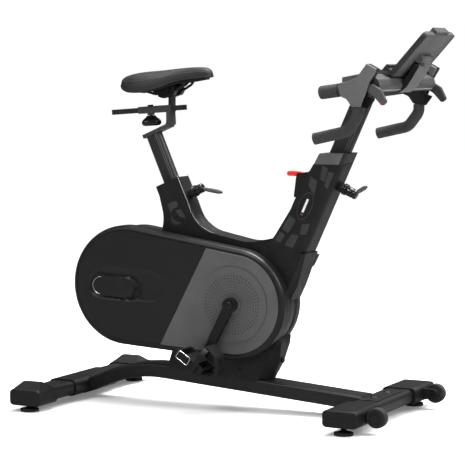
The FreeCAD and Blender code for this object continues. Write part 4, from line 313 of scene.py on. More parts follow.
MAT = {
    "coat": powder_coat("satin_black_coat", grey(0.0085), 0.36),
    "post": powder_coat("satin_black_post", grey(0.012), 0.34),
    # the lighter rib colours of both posts are painted highlights
    "seat_tube": ridged_post("ridged_seat_post", grey(0.014), SEAT_AXIS, [(9.5, 0.9), (14.5, 0.9)], grey(0.085)),
    "bar_tube": ridged_post("ridged_bar_post", grey(0.012), MAST_AXIS, [(13, 0.8), (19.0, 0.8)], grey(0.06)),
    "cover": plastic("moulded_black", grey(0.0060), 0.42, 2600, 0.20, 0.05),
    "casing": plastic("casing_black", grey(0.0085), 0.36, 2600, 0.12, 0.06),
    "panel": plastic("panel_graphite", grey(0.066), 0.34, 2600, 0.14),
    "disc": perforated("perforated_graphite", grey(0.060), grey(0.022)),
    "charcoal": plastic("charcoal_plastic", grey(0.052), 0.44, 2200, 0.25),
    # the hoods' inner sides below 896 mm are darkened as painted shade
    "hood": two_tone("hood_moulding", grey(0.006), grey(0.085), 11.0, 0.44, 213.0, 896.0),
    "cap": two_tone("cap_moulding", grey(0.012), grey(0.070), 43.0),
    # the bar cover's side faces beyond 39 mm get a dark colour as painted shade; its front band keeps the lighter
    # colour
    "neck_cover": two_tone("neck_cover_painted_shade_sides", grey(0.085), grey(0.012), 39.0),
    "plate": two_tone("tablet_moulding", grey(0.060), grey(0.022), 94.0),
    "charcoal_dark": plastic("charcoal_dark", grey(0.030), 0.44, 2200, 0.25),
    "gloss": plastic("gloss_black", grey(0.0045), 0.22, 1800, 0.06, 0.1, 0.5),
    "matte": plastic("matte_black", grey(0.006), 0.6, 1800, 0.3, 0.2, 0.25),
    "crank": powder_coat("crank_black", grey(0.004), 0.24),
    "rubber": rubber("black_rubber", grey(0.010), 0.66),
    "grip": rubber("grip_foam", grey(0.021), 0.72, ("DIAGONAL", 130.0)),
    "steel": metal("zinc_steel", grey(0.55, 0.02), 0.28),
    "dark_steel": metal("black_oxide_steel", grey(0.05), 0.32),
    "cast": metal("turned_iron", grey(0.30, 0.01), 0.35),
    "red": plastic("red_knob", (0.62, 0.020, 0.012, 1), 0.32, 1600, 0.10),
    "red_dull": plastic("red_marker", (0.10, 0.040, 0.032, 1), 0.45, 1600, 0.10),
    "leather": leather("pebbled_leather", grey(0.014)),
    "decal": plastic("decal_graphite", grey(0.026), 0.42, 2600, 0.10),
    "silver": metal("silver_trim", grey(0.72), 0.22),
    "pale": plastic("pale_print", grey(0.55), 0.4, 2600, 0.05),
    "slot": plastic("shadow_gap", grey(0.002), 0.6, 2600, 0.1),
    # pale strip material for beads that stand in for highlight lines: painted highlight
    "painted_highlight_edge": plastic("painted_highlight_strip", grey(0.22), 0.38, 2600, 0.1),
    "belt": rubber("ribbed_belt", grey(0.02), 0.6, ("Y", 900.0)),
    "thread": plastic("seam_thread", grey(0.055), 0.6, 2600, 0.3),
}

NODE_MATERIAL = {
    "main_beam": "coat", "rear_stabiliser": "coat", "front_stabiliser": "coat", "stabiliser_brackets": "coat",
    "rear_end_caps": "cover", "front_end_caps": "cover", "base_bolts": "dark_steel", "frame_tubes": "coat",
    "bearings": "steel", "post_bushes": "cover", "body_cover_left": "cover", "body_cover_right": "cover",
    "mast_top_cap": "cap", "casing_left": "casing", "casing_right": "casing", "side_panels": "panel",
    "badge_plates": "gloss", "cover_screws": "matte", "power_inlet": "gloss", "drive_belt": "belt",
    "wheel_left": "rubber", "wheel_right": "rubber", "foot_rear_left": "rubber", "foot_rear_right": "rubber",
    "foot_front_left": "rubber", "foot_front_right": "rubber", "crank_axle": "steel", "crank_right": "crank",
    "crank_left": "crank", "crank_discs": "disc", "drive_pulley": "gloss", "pedal_spindles": "steel",
    "pedal_right": "matte", "pedal_left": "matte", "toe_cage_right": "matte", "toe_cage_left": "matte",
    "flywheel": "cast", "flywheel_axle": "steel", "magnet_brake": "steel", "brake_lever": "red",
    "seat_post": "seat_tube", "seat_head": "charcoal_dark", "seat_pin_knob": "gloss", "slider_bar": "post",
    "slider_knob": "gloss", "saddle_clamp": "crank", "saddle_rails": "crank", "saddle_shell": "cover",
    "saddle_pad": "leather", "bar_post": "bar_tube", "mast_pin_knob": "gloss", "bar_stem": "charcoal",
    "handlebar": "charcoal", "bar_cover": "neck_cover", "grips": "grip", "hoods": "hood",
    # lever_left, the far lever, gets darker charcoal than lever_right: painted shade
    "lever_right": "charcoal", "lever_left": "charcoal_dark", "tablet_holder": "plate", "tablet_clip": "charcoal",
}

# width in millimetres of the rounding that each node's sharp edges get
EDGE_ROUND = {
    "body_cover_left": 3.0, "body_cover_right": 3.0, "mast_top_cap": 1.6, "rear_end_caps": 1.5,
    "front_end_caps": 1.5, "seat_head": 1.0, "slider_bar": 0.6, "bar_stem": 1.5, "bar_cover": 2.0,
    "tablet_holder": 1.2, "tablet_clip": 1.0, "brake_lever": 1.6, "handlebar": 1.2, "saddle_clamp": 1.0,
    "pedal_right": 0.8, "pedal_left": 0.8, "toe_cage_right": 0.5, "toe_cage_left": 0.5,
}


def dress_nodes():
    for name, node in nodes.items():
        node.data.materials.clear()
        node.data.materials.append(MAT[NODE_MATERIAL[name]])
        width = EDGE_ROUND.get(name)
        if width:
            weld = node.modifiers.new("weld", "WELD")
            weld.merge_threshold = 0.00002
            bevel = node.modifiers.new("edge", "BEVEL")
            bevel.width = width / 1000
            bevel.segments = 3
            bevel.limit_method = "ANGLE"
            bevel.angle_limit = radians(40)
            bevel.use_clamp_overlap = True
            bevel.harden_normals = False


dress_nodes()


# --------------------------------------------------------------- mesh helpers
def new_piece(name, vertices, faces, material, body, slot=None, smooth=True, replaces=()):
    mesh = bpy.data.meshes.new(name)
    mesh.from_pydata([tuple(v) for v in vertices], [], faces)
    mesh.validate()
    bm = bmesh.new()
    bm.from_mesh(mesh)
    bmesh.ops.remove_doubles(bm, verts=bm.verts, dist=1e-6)
    bmesh.ops.recalc_face_normals(bm, faces=bm.faces)
    bm.to_mesh(mesh)
    bm.free()
    mesh.materials.append(MAT[material])
    piece = bpy.data.objects.new(name, mesh)
    bpy.context.scene.collection.objects.link(piece)
    for polygon in mesh.polygons:
        polygon.use_smooth = smooth
    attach(piece, body)
    if replaces:
        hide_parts(*replaces)
    return piece


def grid_faces(rows, columns, wrap=False):
    faces = []
    span = columns if wrap else columns - 1
    for i in range(rows - 1):
        for j in range(span):
            k = (j + 1) % columns
            faces.append((i * columns + j, i * columns + k, (i + 1) * columns + k, (i + 1) * columns + j))
    return faces


def smooth_by_angle(piece, degrees_limit=35):
    limit = radians(degrees_limit)
    mesh = piece.data
    bm = bmesh.new()
    bm.from_mesh(mesh)
    for edge in bm.edges:
        edge.smooth = len(edge.link_faces) != 2 or edge.calc_face_angle(0) < limit
    bm.to_mesh(mesh)
    bm.free()


def tube_along(name, points, radius, material, body, slot=None, sides=12, closed=False):
    """Round bead that follows points (already in metres)."""
    count = len(points)
    vertices = []
    for i, point in enumerate(points):
        back = points[i - 1] if (i > 0 or closed) else points[0]
        ahead = points[(i + 1) % count] if (i < count - 1 or closed) else points[-1]
        way = (ahead - back).normalized()
        side = way.cross(Vector((0, 1, 0)))
        if side.length < 1e-4:
            side = Vector((1, 0, 0))
        side.normalize()
        up = way.cross(side).normalized()
        for k in range(sides):
            a = 2 * pi * k / sides
            vertices.append(point + (side * cos(a) + up * sin(a)) * radius)
    faces = grid_faces(count, sides, True)
    if closed:
        base = (count - 1) * sides
        faces += [(base + k, base + (k + 1) % sides, (k + 1) % sides, k) for k in range(sides)]
    else:
        faces.append(tuple(range(sides))[::-1])
        faces.append(tuple((count - 1) * sides + k for k in range(sides)))
    return new_piece(name, vertices, faces, material, body, slot)


# ----------------------------------------------------------------- drum covers
FLYWHEEL = Vector((179.0, 0, 327.0))
CORE_FRONT = 143.0
CORE_REAR = 158.0
COVER_STEP = 5.5
LEFT_INSET = 42.0
PANEL_LINE = (361.0, 314.0, 27.5)
BADGE = (142.0, 322.0)
DISC_RADIUS = 101.0


def capsule_points(front, rear, y, arc=56, side=84):
    """Outline round the crank and flywheel centres, evenly stepped, the same count for every size."""
    dx = FLYWHEEL.x - CRANK.x
    dz = FLYWHEEL.z - CRANK.z
    span = sqrt(dx * dx + dz * dz)
    along = atan2(dz, dx)
    swing = pi / 2 + atan2(rear - front, sqrt(span ** 2 - (rear - front) ** 2))
    points = []
    for k in range(arc):
        a = along + swing + (2 * pi - 2 * swing) * k / arc
        points.append((CRANK.x + front * cos(a), y, CRANK.z + front * sin(a)))
    front_top = (CRANK.x + front * cos(along - swing), CRANK.z + front * sin(along - swing))
    rear_top = (FLYWHEEL.x + rear * cos(along - swing), FLYWHEEL.z + rear * sin(along - swing))
    for k in range(side):
        t = k / side
        points.append((front_top[0] + (rear_top[0] - front_top[0]) * t, y,
                       front_top[1] + (rear_top[1] - front_top[1]) * t))
    for k in range(arc):
        a = along - swing + 2 * swing * k / arc
        points.append((FLYWHEEL.x + rear * cos(a), y, FLYWHEEL.z + rear * sin(a)))
    rear_low = (FLYWHEEL.x + rear * cos(along + swing), FLYWHEEL.z + rear * sin(along + swing))
    front_low = (CRANK.x + front * cos(along + swing), CRANK.z + front * sin(along + swing))
    for k in range(side):
        t = k / side
        points.append((rear_low[0] + (front_low[0] - rear_low[0]) * t, y,
                       rear_low[1] + (front_low[1] - rear_low[1]) * t))
    return points


def ease(t):
    t = max(0.0, min(1.0, t))
    return t * t * (3 - 2 * t)


def bar_distance(x, z, cx, cz, half, radius, tilt):
    """Distance outside a rounded bar shape."""
    u = (x - cx) * cos(tilt) + (z - cz) * sin(tilt)
    v = -(x - cx) * sin(tilt) + (z - cz) * cos(tilt)
    over = abs(u) - half if abs(u) > half else 0.0
    return sqrt(over * over + v * v) - radius


def face_sink(x, z, side):
    """How far the right cover's face lies below its flat plane: a wide dish and the badge's own seat."""
    away = sqrt((x - CRANK.x) ** 2 + (z - CRANK.z) ** 2)
    reach = DISC_RADIUS if side < 0 else DISC_RADIUS - 20
    ring = -1.6 * ease((reach + 34 - away) / 30.0) * ease((away - 20) / 10.0)
    if side > 0:
        return ring
    dish = 3.4 * ease(-bar_distance(x, z, BADGE[0] + 46, BADGE[1] + 6, 66, 44, -0.03) / 9.0)
    seat = 5.0 * ease(-bar_distance(x, z, BADGE[0] + 4, BADGE[1], 47, 37, -0.044) / 8.0)
    stand = ease(1 - max(0.0, bar_distance(x, z, BADGE[0], BADGE[1], 39, 27.5, -0.044)) / 3.0)
    return (dish + seat) * (1 - stand) + ring


def inner_targets(y, opening=17.2, arc=56, side=84):
    """Where each outline point ends when the face is filled in: the crank's hole or the line between centres."""
    dx = FLYWHEEL.x - CRANK.x
    dz = FLYWHEEL.z - CRANK.z
    span = sqrt(dx * dx + dz * dz)
    along = atan2(dz, dx)
    swing = pi / 2 + atan2(CORE_REAR - CORE_FRONT, sqrt(span ** 2 - (CORE_REAR - CORE_FRONT) ** 2))

    def hole(a):
        return CRANK.x + opening * cos(a), y, CRANK.z + opening * sin(a)

    def spine(t):
        reach = opening + (span - opening) * t
        return CRANK.x + reach * dx / span, y, CRANK.z + reach * dz / span

    turn = 0.14
    points = [hole(along + swing + (2 * pi - 2 * swing) * k / arc) for k in range(arc)]
    for k in range(side):
        t = k / side
        points.append(hole(along - swing * (1 - t / turn)) if t < turn else spine((t - turn) / (1 - turn)))
    points += [spine(1.0)] * arc
    for k in range(side):
        t = 1 - k / side
        points.append(hole(along + swing * (1 - t / turn)) if t < turn else spine((t - turn) / (1 - turn)))
    return points


def drum_rings(side):
    """Profile from the centre plane outwards: (shrink of the outline, distance from the centre plane)."""
    if side < 0:
        grow = COVER_STEP
        face = 84.0
        rings = [(0.0, 0.0), (0.0, 20.0), (0.0, 41.5), (0.3, 42.4), (-0.2, 43.4), (-grow + 1.0, 44.0)]
        rings += [(-grow, 44.8), (-grow, 52.0), (-grow, 58.2), (-grow + 1.1, 58.8), (-grow + 1.1, 60.0)]
        rings += [(-grow, 60.6), (-grow, 70.0)]
    else:
        grow = -LEFT_INSET
        face = 80.0
        rings = [(0.0, 0.0), (0.0, 20.0), (0.0, 36.0), (2.3, 41.7), (8.0, 44.0), (24.0, 44.0), (LEFT_INSET - 1.5, 44.0),
                 (LEFT_INSET, 45.5), (LEFT_INSET, 56.0), (LEFT_INSET, 66.0)]
    radius = 12.0
    for k in range(9):
        a = k / 8 * pi / 2
        rings.append((-grow + radius * (1 - cos(a)), face - radius * (1 - sin(a))))
    rings += [(-grow + radius + 0.6, face), (-grow + radius + 0.9, face - 1.6), (-grow + radius + 2.7, face - 1.6),
              (-grow + radius + 3.0, face)]
    return rings, grow, radius, face


def drum_cover(side):
    """One side of the drum: band, rounded shoulder, groove, and a face that stops at the crank's opening."""
    rings, grow, radius, face = drum_rings(side)
    rows = []
    for shrink, y in rings:
        rows.append(capsule_points(CORE_FRONT - shrink, CORE_REAR - shrink, side * y))
    shrink = -grow + radius + 3.0
    inner_front = CORE_FRONT - shrink
    inner_rear = CORE_REAR - shrink
    steps = 34
    rim = capsule_points(inner_front, inner_rear, 0)
    goal = inner_targets(0)
    for k in range(1, steps + 1):
        t = k / steps
        ring = []
        for (x0, _, z0), (x1, _, z1) in zip(rim, goal):
            x = x0 + (x1 - x0) * t
            z = z0 + (z1 - z0) * t
            ring.append((x, side * (face - face_sink(x, z, side)), z))
        rows.append(ring)
    columns = len(rows[0])
    vertices = [at(*p) for row in rows for p in row]
    return vertices, grid_faces(len(rows), columns, True)


def add_drum():
    line_x, line_z, lean = PANEL_LINE
    tilt = radians(lean)
    for side, word in ((-1, "right"), (1, "left")):
        vertices, faces = drum_cover(side)
        for part in ("casing", "panel"):
            mesh = bpy.data.meshes.new(part)
            mesh.from_pydata([tuple(v) for v in vertices], [], faces)
            bm = bmesh.new()
            bm.from_mesh(mesh)
            bmesh.ops.remove_doubles(bm, verts=bm.verts, dist=1e-6)
            plane = at(line_x, 0, line_z)
            normal = Vector((cos(tilt), 0, -sin(tilt)))
            rings, grow, radius, face = drum_rings(side)
            limit = (face - 6.0) / 1000
            margin = -grow + radius + 2.9

            def on_panel(f):
                c = f.calc_center_median()
                return abs(c.y) > limit and (c - plane).dot(normal) > 0 and inside(c, margin)

            bmesh.ops.bisect_plane(bm, geom=list(bm.faces) + list(bm.edges) + list(bm.verts),
                                   plane_co=plane, plane_no=normal, dist=1e-7)
            bm.faces.ensure_lookup_table()
            chosen = [f for f in bm.faces if on_panel(f)]
            picked = set(chosen)
            drop = [f for f in bm.faces if (f in picked) == (part == "casing")]
            bmesh.ops.delete(bm, geom=drop, context="FACES")
            loose = [v for v in bm.verts if not v.link_faces]
            bmesh.ops.delete(bm, geom=loose, context="VERTS")
            bmesh.ops.recalc_face_normals(bm, faces=bm.faces)
            outward = sum(f.normal.y * side * f.calc_area() for f in bm.faces)
            if outward < 0:
                bmesh.ops.reverse_faces(bm, faces=bm.faces)
            for f in bm.faces:
                f.smooth = True
            bm.to_mesh(mesh)
            bm.free()
            mesh.materials.append(MAT["panel" if part == "panel" else "casing"])
            piece = bpy.data.objects.new(f"{part}_{word}_skin", mesh)
            bpy.context.scene.collection.objects.link(piece)
            smooth_by_angle(piece, 40)
            thick = piece.modifiers.new("wall", "SOLIDIFY")
            thick.thickness = 0.0012
            thick.offset = -1.0
            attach(piece, "frame")
            if part == "casing":
                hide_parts(f"casing_{word}")
            else:
                if side < 0:
                    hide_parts("side_panels")


def inside(point, margin):
    """True for a point of the side faces inside the outline shrunk by margin."""
    x = point.x * 1000 + MIDDLE
    z = point.z * 1000
    dx = FLYWHEEL.x - CRANK.x
    dz = FLYWHEEL.z - CRANK.z
    t = ((x - CRANK.x) * dx + (z - CRANK.z) * dz) / (dx * dx + dz * dz)
    t = max(0.0, min(1.0, t))
    px = CRANK.x + dx * t
    pz = CRANK.z + dz * t
    limit = CORE_FRONT + (CORE_REAR - CORE_FRONT) * t - margin
    return sqrt((x - px) ** 2 + (z - pz) ** 2) < limit


add_drum()


# --------------------------------------------------------------------- saddle
# X, half width, crown, rim height
SADDLE = [(143.0, 28, 887, 876), (147, 43, 892, 868), (158, 58, 897, 859), (178, 70, 902, 852), (200, 76, 905.5, 850),
          (225, 75.5, 908, 851), (250, 68, 910, 857), (275, 55, 912.5, 866), (300, 42, 915.5, 876),
          (325, 33, 918, 883), (350, 28.5, 920, 887), (372, 25, 920.5, 889), (388, 20.5, 918, 891),
          (398, 15, 912, 893), (402.0, 9, 905, 896)]


def catmull(rows, t):
    """Smooth interpolation through rows of numbers at t in 0..1."""
    n = len(rows) - 1
    f = min(max(t * n, 0), n - 1e-9)
    i = int(f)
    u = f - i
    a = rows[max(i - 1, 0)]
    b = rows[i]
    c = rows[i + 1]
    d = rows[min(i + 2, n)]
    out = []
    for p, q, r, s in zip(a, b, c, d):
        square = 2 * p - 5 * q + 4 * r - s
        cube = 3 * q - p - 3 * r + s
        out.append(0.5 * (2 * q + (r - p) * u + square * u * u + cube * u ** 3))
    return out


def saddle_point(t, a, lift=0.0):
    """Point on the pad at station t and angle a from the crown, with a shallow centre channel."""
    x, half, crown, rim = catmull(SADDLE, t)
    side = 1 if a >= 0 else -1
    angle = abs(a)
    y = half * side * abs(sin(angle)) ** 0.82
    rise = abs(cos(angle)) ** 0.72
    z = rim + (crown - rim) * rise
    channel = 2.6 * ease(1 - abs(y) / 11.0) * ease((t - 0.12) / 0.2) * ease((0.86 - t) / 0.12)
    z -= channel
    return x, y + lift * side * sin(angle), z + lift * cos(angle)


def add_saddle():
    rows = 72
    across = 44
    vertices = []
    for i in range(rows + 1):
        t = i / rows
        ring = []
        for j in range(across + 1):
            a = -pi / 2 + pi * j / across
            ring.append(saddle_point(t, a))
        x, half, crown, rim = catmull(SADDLE, t)
        tuck = min(7.0, half * 0.3)
        under = 12
        for j in range(1, under):
            u = 1 - 2 * j / under
            depth = rim + 1.0 + (crown - rim - 15.0) * (1 - u * u) * 0.8
            ring.append((x, u * (half - tuck * (1 - abs(u) ** 8)), max(depth, rim - 1.5)))
        vertices.append(ring)
    columns = len(vertices[0])
    flat = [at(*p) for ring in vertices for p in ring]
    faces = grid_faces(rows + 1, columns, True)
    faces.append(tuple(range(columns)))
    faces.append(tuple(rows * columns + k for k in range(columns))[::-1])
    pad = new_piece("saddle_cushion", flat, faces, "leather", "saddle", "foam", replaces=("saddle_pad",))
    smooth_by_angle(pad, 60)
    for word, share in (("left", 0.70), ("right", -0.70)):
        line = [at(*saddle_point(0.05 + 0.86 * k / 60, share * pi / 2, 0.15)) for k in range(61)]
        tube_along(f"saddle_seam_{word}", line, 0.0007, "thread", "saddle", "foam", 8)
    rim_line = []
    for k in range(61):
        rim_line.append(at(*saddle_point(k / 60, pi / 2 * 0.985, 0.2)))
    for k in range(61):
        rim_line.append(at(*saddle_point(1 - k / 60, -pi / 2 * 0.985, 0.2)))
    tube_along("saddle_welt", rim_line, 0.0013, "leather", "saddle", "foam", 8, True)


add_saddle()


# ---------------------------------------------------------- prints and trims
def on_axis(axis, along, across, y):
    """Point at a station along a leaning axis and a distance ahead of it."""
    x0, z0, lean = axis
    tilt = radians(lean)
    return at(x0 + along * sin(tilt) + across * cos(tilt), y, z0 + along * cos(tilt) - across * sin(tilt))


def flat_print(name, outline, thickness, material, body, slot):
    """Thin raised print: outline is a loop of points in metres, lifted along Y away from the centre plane."""
    side = 1 if outline[0].y > 0 else -1
    count = len(outline)
    top = [p + Vector((0, side * thickness / 1000, 0)) for p in outline]
    faces = [tuple(range(count)), tuple(range(2 * count - 1, count - 1, -1))]
    faces += [(k, (k + 1) % count, count + (k + 1) % count, count + k) for k in range(count)]
    return new_piece(name, list(outline) + top, faces, material, body, slot, smooth=False)


# station along the axis and distance ahead of it, for each corner of each block
SEAT_BLOCKS = [
    [(-62, -22), (-62, 4), (-71, 9), (-80, 4), (-80, -12), (-86, -22)],
    [(-88, -6), (-88, 10), (-112, 16), (-118, 12), (-104, -2)],
    [(-92, -22), (-106, -22), (-124, -4), (-124, -20), (-112, -30)],
]
MAST_BLOCKS = [
    [(-186, -16), (-186, 2), (-222, 8), (-222, -6)],
    [(-193, 6), (-190, 22), (-236, 24), (-232, 12)],
    [(-226, -34), (-230, -12), (-268, -4), (-250, -30)],
    [(-352, -4), (-340, 16), (-372, 20), (-378, 2)],
    [(-346, -46), (-350, -24), (-392, -30), (-388, -50)],
    [(-388, -20), (-384, 0), (-420, -2), (-424, -26)],
    [(-398, -54), (-398, -36), (-424, -40), (-424, -56)],
]


def add_prints():
    for side, word in ((-1, "right"), (1, "left")):
        for k, block in enumerate(SEAT_BLOCKS):
            loop = [on_axis(SEAT_AXIS, s, u, side * 31.9) for s, u in block]
            flat_print(f"seat_print_{word}_{k}", loop, 0.35, "decal", "frame", "panel_grey")
        for k, block in enumerate(MAST_BLOCKS):
            loop = [on_axis(MAST_AXIS, s, u, side * 45.9) for s, u in block]
            flat_print(f"mast_print_{word}_{k}", loop, 0.35, "decal", "frame", "panel_grey")
        ring = []
        for k in range(49):
            a = 2 * pi * k / 48
            ring.append(on_axis(MAST_AXIS, -304 + 38 * cos(a), -16 + 19 * sin(a), side * 46.0))
        tube_along(f"mast_emblem_ring_{word}", ring[:-1], 0.0009, "decal", "frame", "panel_grey", 8, True)
        bar_corners = ((-322, -19), (-322, -13), (-284, -13), (-284, -19))
        bar = [on_axis(MAST_AXIS, s, u, side * 45.9) for s, u in bar_corners]
        flat_print(f"mast_emblem_bar_{word}", bar, 0.4, "pale", "frame", "panel_grey")
        dot_corners = ((-331, -20), (-331, -12), (-326, -12), (-326, -20))
        dot = [on_axis(MAST_AXIS, s, u, side * 45.9) for s, u in dot_corners]
        flat_print(f"mast_emblem_dot_{word}", dot, 0.4, "red_dull", "frame", "panel_grey")


def add_badge_arc():
    """Silver arc at the badge's rear end."""
    for side, radius in ((-1, 23.5), (1, 15.5)):
        face = 85.6 if side < 0 else 81.6
        tilt = radians(2.5)
        points = []
        for k in range(25):
            a = pi / 2 + pi * k / 24
            u = -39 + radius * cos(a)
            v = radius * sin(a)
            x = BADGE[0] + u * cos(tilt) + v * sin(tilt)
            z = BADGE[1] + v * cos(tilt) - u * sin(tilt)
            points.append(at(x, side * face, z))
        tube_along("badge_arc_" + ("right" if side < 0 else "left"), points, 0.0011, "silver", "frame", "badge", 8)


def lathe(profile, turn, name, material, body, slot, sides=40, lobes=0, depth=0.0, **more):
    """Spin (distance along, radius) pairs about an axis given by turn(along, u, v)."""
    vertices = []
    for along, radius in profile:
        for k in range(sides):
            a = 2 * pi * k / sides
            r = radius * (1 + depth * cos(lobes * a)) if lobes else radius
            vertices.append(turn(along, r * cos(a), r * sin(a)))
    faces = grid_faces(len(profile), sides, True)
    faces.append(tuple(range(sides))[::-1])
    faces.append(tuple((len(profile) - 1) * sides + k for k in range(sides)))
    piece = new_piece(name, vertices, faces, material, body, slot, **more)
    smooth_by_angle(piece, 38)
    return piece


def soft_profile(points, radius=1.0, steps=3):
    """Round the corners of a (distance, radius) profile."""
    out = [points[0]]
    for i in range(1, len(points) - 1):
        here = Vector(points[i])
        back = Vector(points[i - 1]) - here
        ahead = Vector(points[i + 1]) - here
        reach = min(radius, back.length * 0.45, ahead.length * 0.45)
        start = here + back.normalized() * reach
        end = here + ahead.normalized() * reach
        for k in range(steps + 1):
            t = k / steps
            point = start * (1 - t) ** 2 + here * 2 * t * (1 - t) + end * t ** 2
            out.append((point.x, point.y))
    out.append(points[-1])
    return out


def add_slider_knob():
    """Three lobed hand knob under the slider sleeve."""
    tilt = radians(4.2)
    x0 = 277 - 62 * cos(tilt)
    z0 = 807.8 - 62 * sin(tilt)

    def turn(along, u, v):
        x, z = u, along
        return at(x0 + x * cos(tilt) - z * sin(tilt), v, z0 + x * sin(tilt) + z * cos(tilt))

    grip = [(-44.0, 3), (-44.0, 17), (-42.5, 22), (-38, 25.5), (-31, 25.0), (-25, 20), (-20, 13.5)]
    grip += [(-16, 11.5), (-15, 3)]
    lathe(soft_profile(grip, 2.5), turn, "slider_hand_knob", "gloss", "slider_knob", "knob_plastic", 72, 3, 0.14,
          replaces=("slider_knob",))
    lathe([(-16, 4.0), (-7.6, 4.0)], turn, "slider_hand_stud", "dark_steel", "slider_knob", "knob_plastic", 16)


def add_pull_knob(name, axis, station, collar_end, body_to, tip, node, body):
    """Spring pin: ribbed collar nut, turned body and a flattened L shaped handle."""
    x0, z0, lean = axis
    tilt = radians(lean)

    def place(ahead, y, along):
        return at(x0 + along * sin(tilt) + ahead * cos(tilt), y, z0 + along * cos(tilt) - ahead * sin(tilt))

    def turn(ahead, u, v):
        return place(ahead, v, station + u)

    ring = [(collar_end + 0.4, 5), (collar_end + 0.4, 15.8), (collar_end + 3.2, 15.8), (collar_end + 4.0, 14.2),
            (collar_end + 5.0, 14.2), (collar_end + 5.8, 15.6), (collar_end + 9.0, 15.6), (collar_end + 9.4, 11.2),
            (collar_end + 12, 11.2), (collar_end + 12.6, 13), (body_to - 12, 13), (body_to - 10, 11.6), (body_to - 8, 12.8),
            (body_to - 2, 12.8), (body_to, 10.5), (body_to, 2)]
    lathe(soft_profile(ring, 0.6, 2), turn, name + "_body", "gloss", body, "knob_plastic", 48, replaces=(node,))
    lathe([(collar_end - 22, 3.9), (collar_end + 1, 3.9)], turn, name + "_pin", "steel", body, "knob_plastic", 20)
    start = Vector((body_to - 8, station))
    end = Vector((tip[0], station + tip[1]))
    way = (end - start).normalized()
    cross = Vector((-way.y, way.x))
    length = (end - start).length
    rows = []
    for k in range(13):
        t = k / 12
        grow = 4.6 + 1.2 * ease(t * 1.6)
        if k >= 11:
            grow *= (0.86, 0.45)[k - 11]
        middle = start + way * (length * t + (2.0 if k == 12 else 0))
        for j in range(20):
            a = 2 * pi * j / 20
            u = cross * (grow * cos(a))
            rows.append(place(middle.x + u.x, grow * 1.18 * sin(a), middle.y + u.y))
    faces = grid_faces(13, 20, True) + [tuple(range(20))[::-1], tuple(12 * 20 + j for j in range(20))]
    new_piece(name + "_handle", rows, faces, "charcoal", body, "knob_plastic")


def add_cover_lines():
    """Slim satin beads along the seat cover's front edges, pale as a painted highlight."""
    seat = [(312, 628), (330, 588), (346, 553), (354, 532), (366, 511), (381, 495), (404, 481.5)]
    seat += [(428, 473), (452, 468.3)]
    for side, word in ((-1, "right"), (1, "left")):
        points = [at(x, side * 31.6, z) for x, z in seat]
        # pale bead along the seat cover's front edge: painted highlight
        tube_along(f"seat_cover_painted_highlight_{word}", points, 0.0009, "painted_highlight_edge", "frame", "cover_plastic", 8)


def add_slider_plug():
    tilt = radians(4.2)
    corners = []
    for ahead in (42.2, 43.6):
        for y, z in ((-11.4, -6.4), (11.4, -6.4), (11.4, 6.4), (-11.4, 6.4)):
            x = 277 + ahead * cos(tilt) - z * sin(tilt)
            corners.append(at(x, y, 807.8 + ahead * sin(tilt) + z * cos(tilt)))
    faces = [(3, 2, 1, 0), (4, 5, 6, 7), (0, 1, 5, 4), (1, 2, 6, 5), (2, 3, 7, 6), (3, 0, 4, 7)]
    new_piece("slider_end_plug", corners, faces, "gloss", "slider", "post_metal", smooth=False)


def pedal_place(side):
    angle = radians(207.7)
    x0 = CRANK.x - side * 165 * sin(angle)
    z0 = CRANK.z - side * 165 * cos(angle)
    tilt = radians(34.0 if side < 0 else 104.0)

    def place(x, y, z):
        return at(x0 + x * cos(tilt) + z * sin(tilt), side * 156.0 + y, z0 + z * cos(tilt) - x * sin(tilt))

    return place


def add_buckles():
    """Bright wire buckle of each toe strap, at the tail of the pedal's outer side."""
    for side, word in ((-1, "right"), (1, "left")):
        place = pedal_place(side)
        y = side * 44.6
        corners = [(-36, -7), (2, -7), (2, 15), (-36, 15)]
        points = []
        for k in range(4):
            (xa, za), (xb, zb) = corners[k], corners[(k + 1) % 4]
            for j in range(6):
                t = (j + 0.5) / 6
                points.append(place(xa + (xb - xa) * t, y, za + (zb - za) * t))
        tube_along(f"strap_buckle_{word}", points, 0.0014, "silver", f"pedal_{word}", "knob_plastic", 8, True)


def add_bar_trim():
    """Slot along the wing's top, a pale strip under it as a painted highlight, lever markers, cover screw and crank
    bolts.
    """
    for side, word in ((-1, "right"), (1, "left")):
        slot = [at(934, side * (34 + 136 * k / 12), 905.0) for k in range(13)]
        tube_along(f"wing_slot_{word}", slot, 0.0019, "slot", "bars", "grey_plastic", 10)
        # pale bead along the wing's lower edge: painted highlight
        strip = [at(960.5, side * (36 + 150 * k / 12), 864.0) for k in range(13)]
        tube_along(f"wing_painted_highlight_{word}", strip, 0.0014, "painted_highlight_edge", "bars", "grey_plastic", 10)

        def face(along, u, v, side=side):
            return at(983.5 + u, side * 213 + along, 835 + v)

        marker = [(side * 5.6, 5.4), (side * 6.2, 5.4), (side * 6.5, 4.6)]
        lathe(marker, face, f"lever_marker_{word}", "red_dull", f"lever_{word}", "grey_plastic", 24)

        def hub(along, u, v, side=side):
            return at(CRANK.x + u, side * along, CRANK.z + v)

        cap = [(109.0, 9.5), (110.6, 9.5), (111.4, 8.4), (111.4, 5.0), (109.6, 4.6)]
        lathe(cap, hub, f"crank_bolt_{word}", "dark_steel", "crankset", "steel", 28)

        def hood_face(along, u, v, side=side):
            return at(946 + u, side * along, 905 + v)

        lathe([(199.0, 3.4), (197.4, 3.4), (197.1, 2.6)], hood_face, f"hood_screw_{word}", "gloss", "bars",
              "grey_plastic", 20)


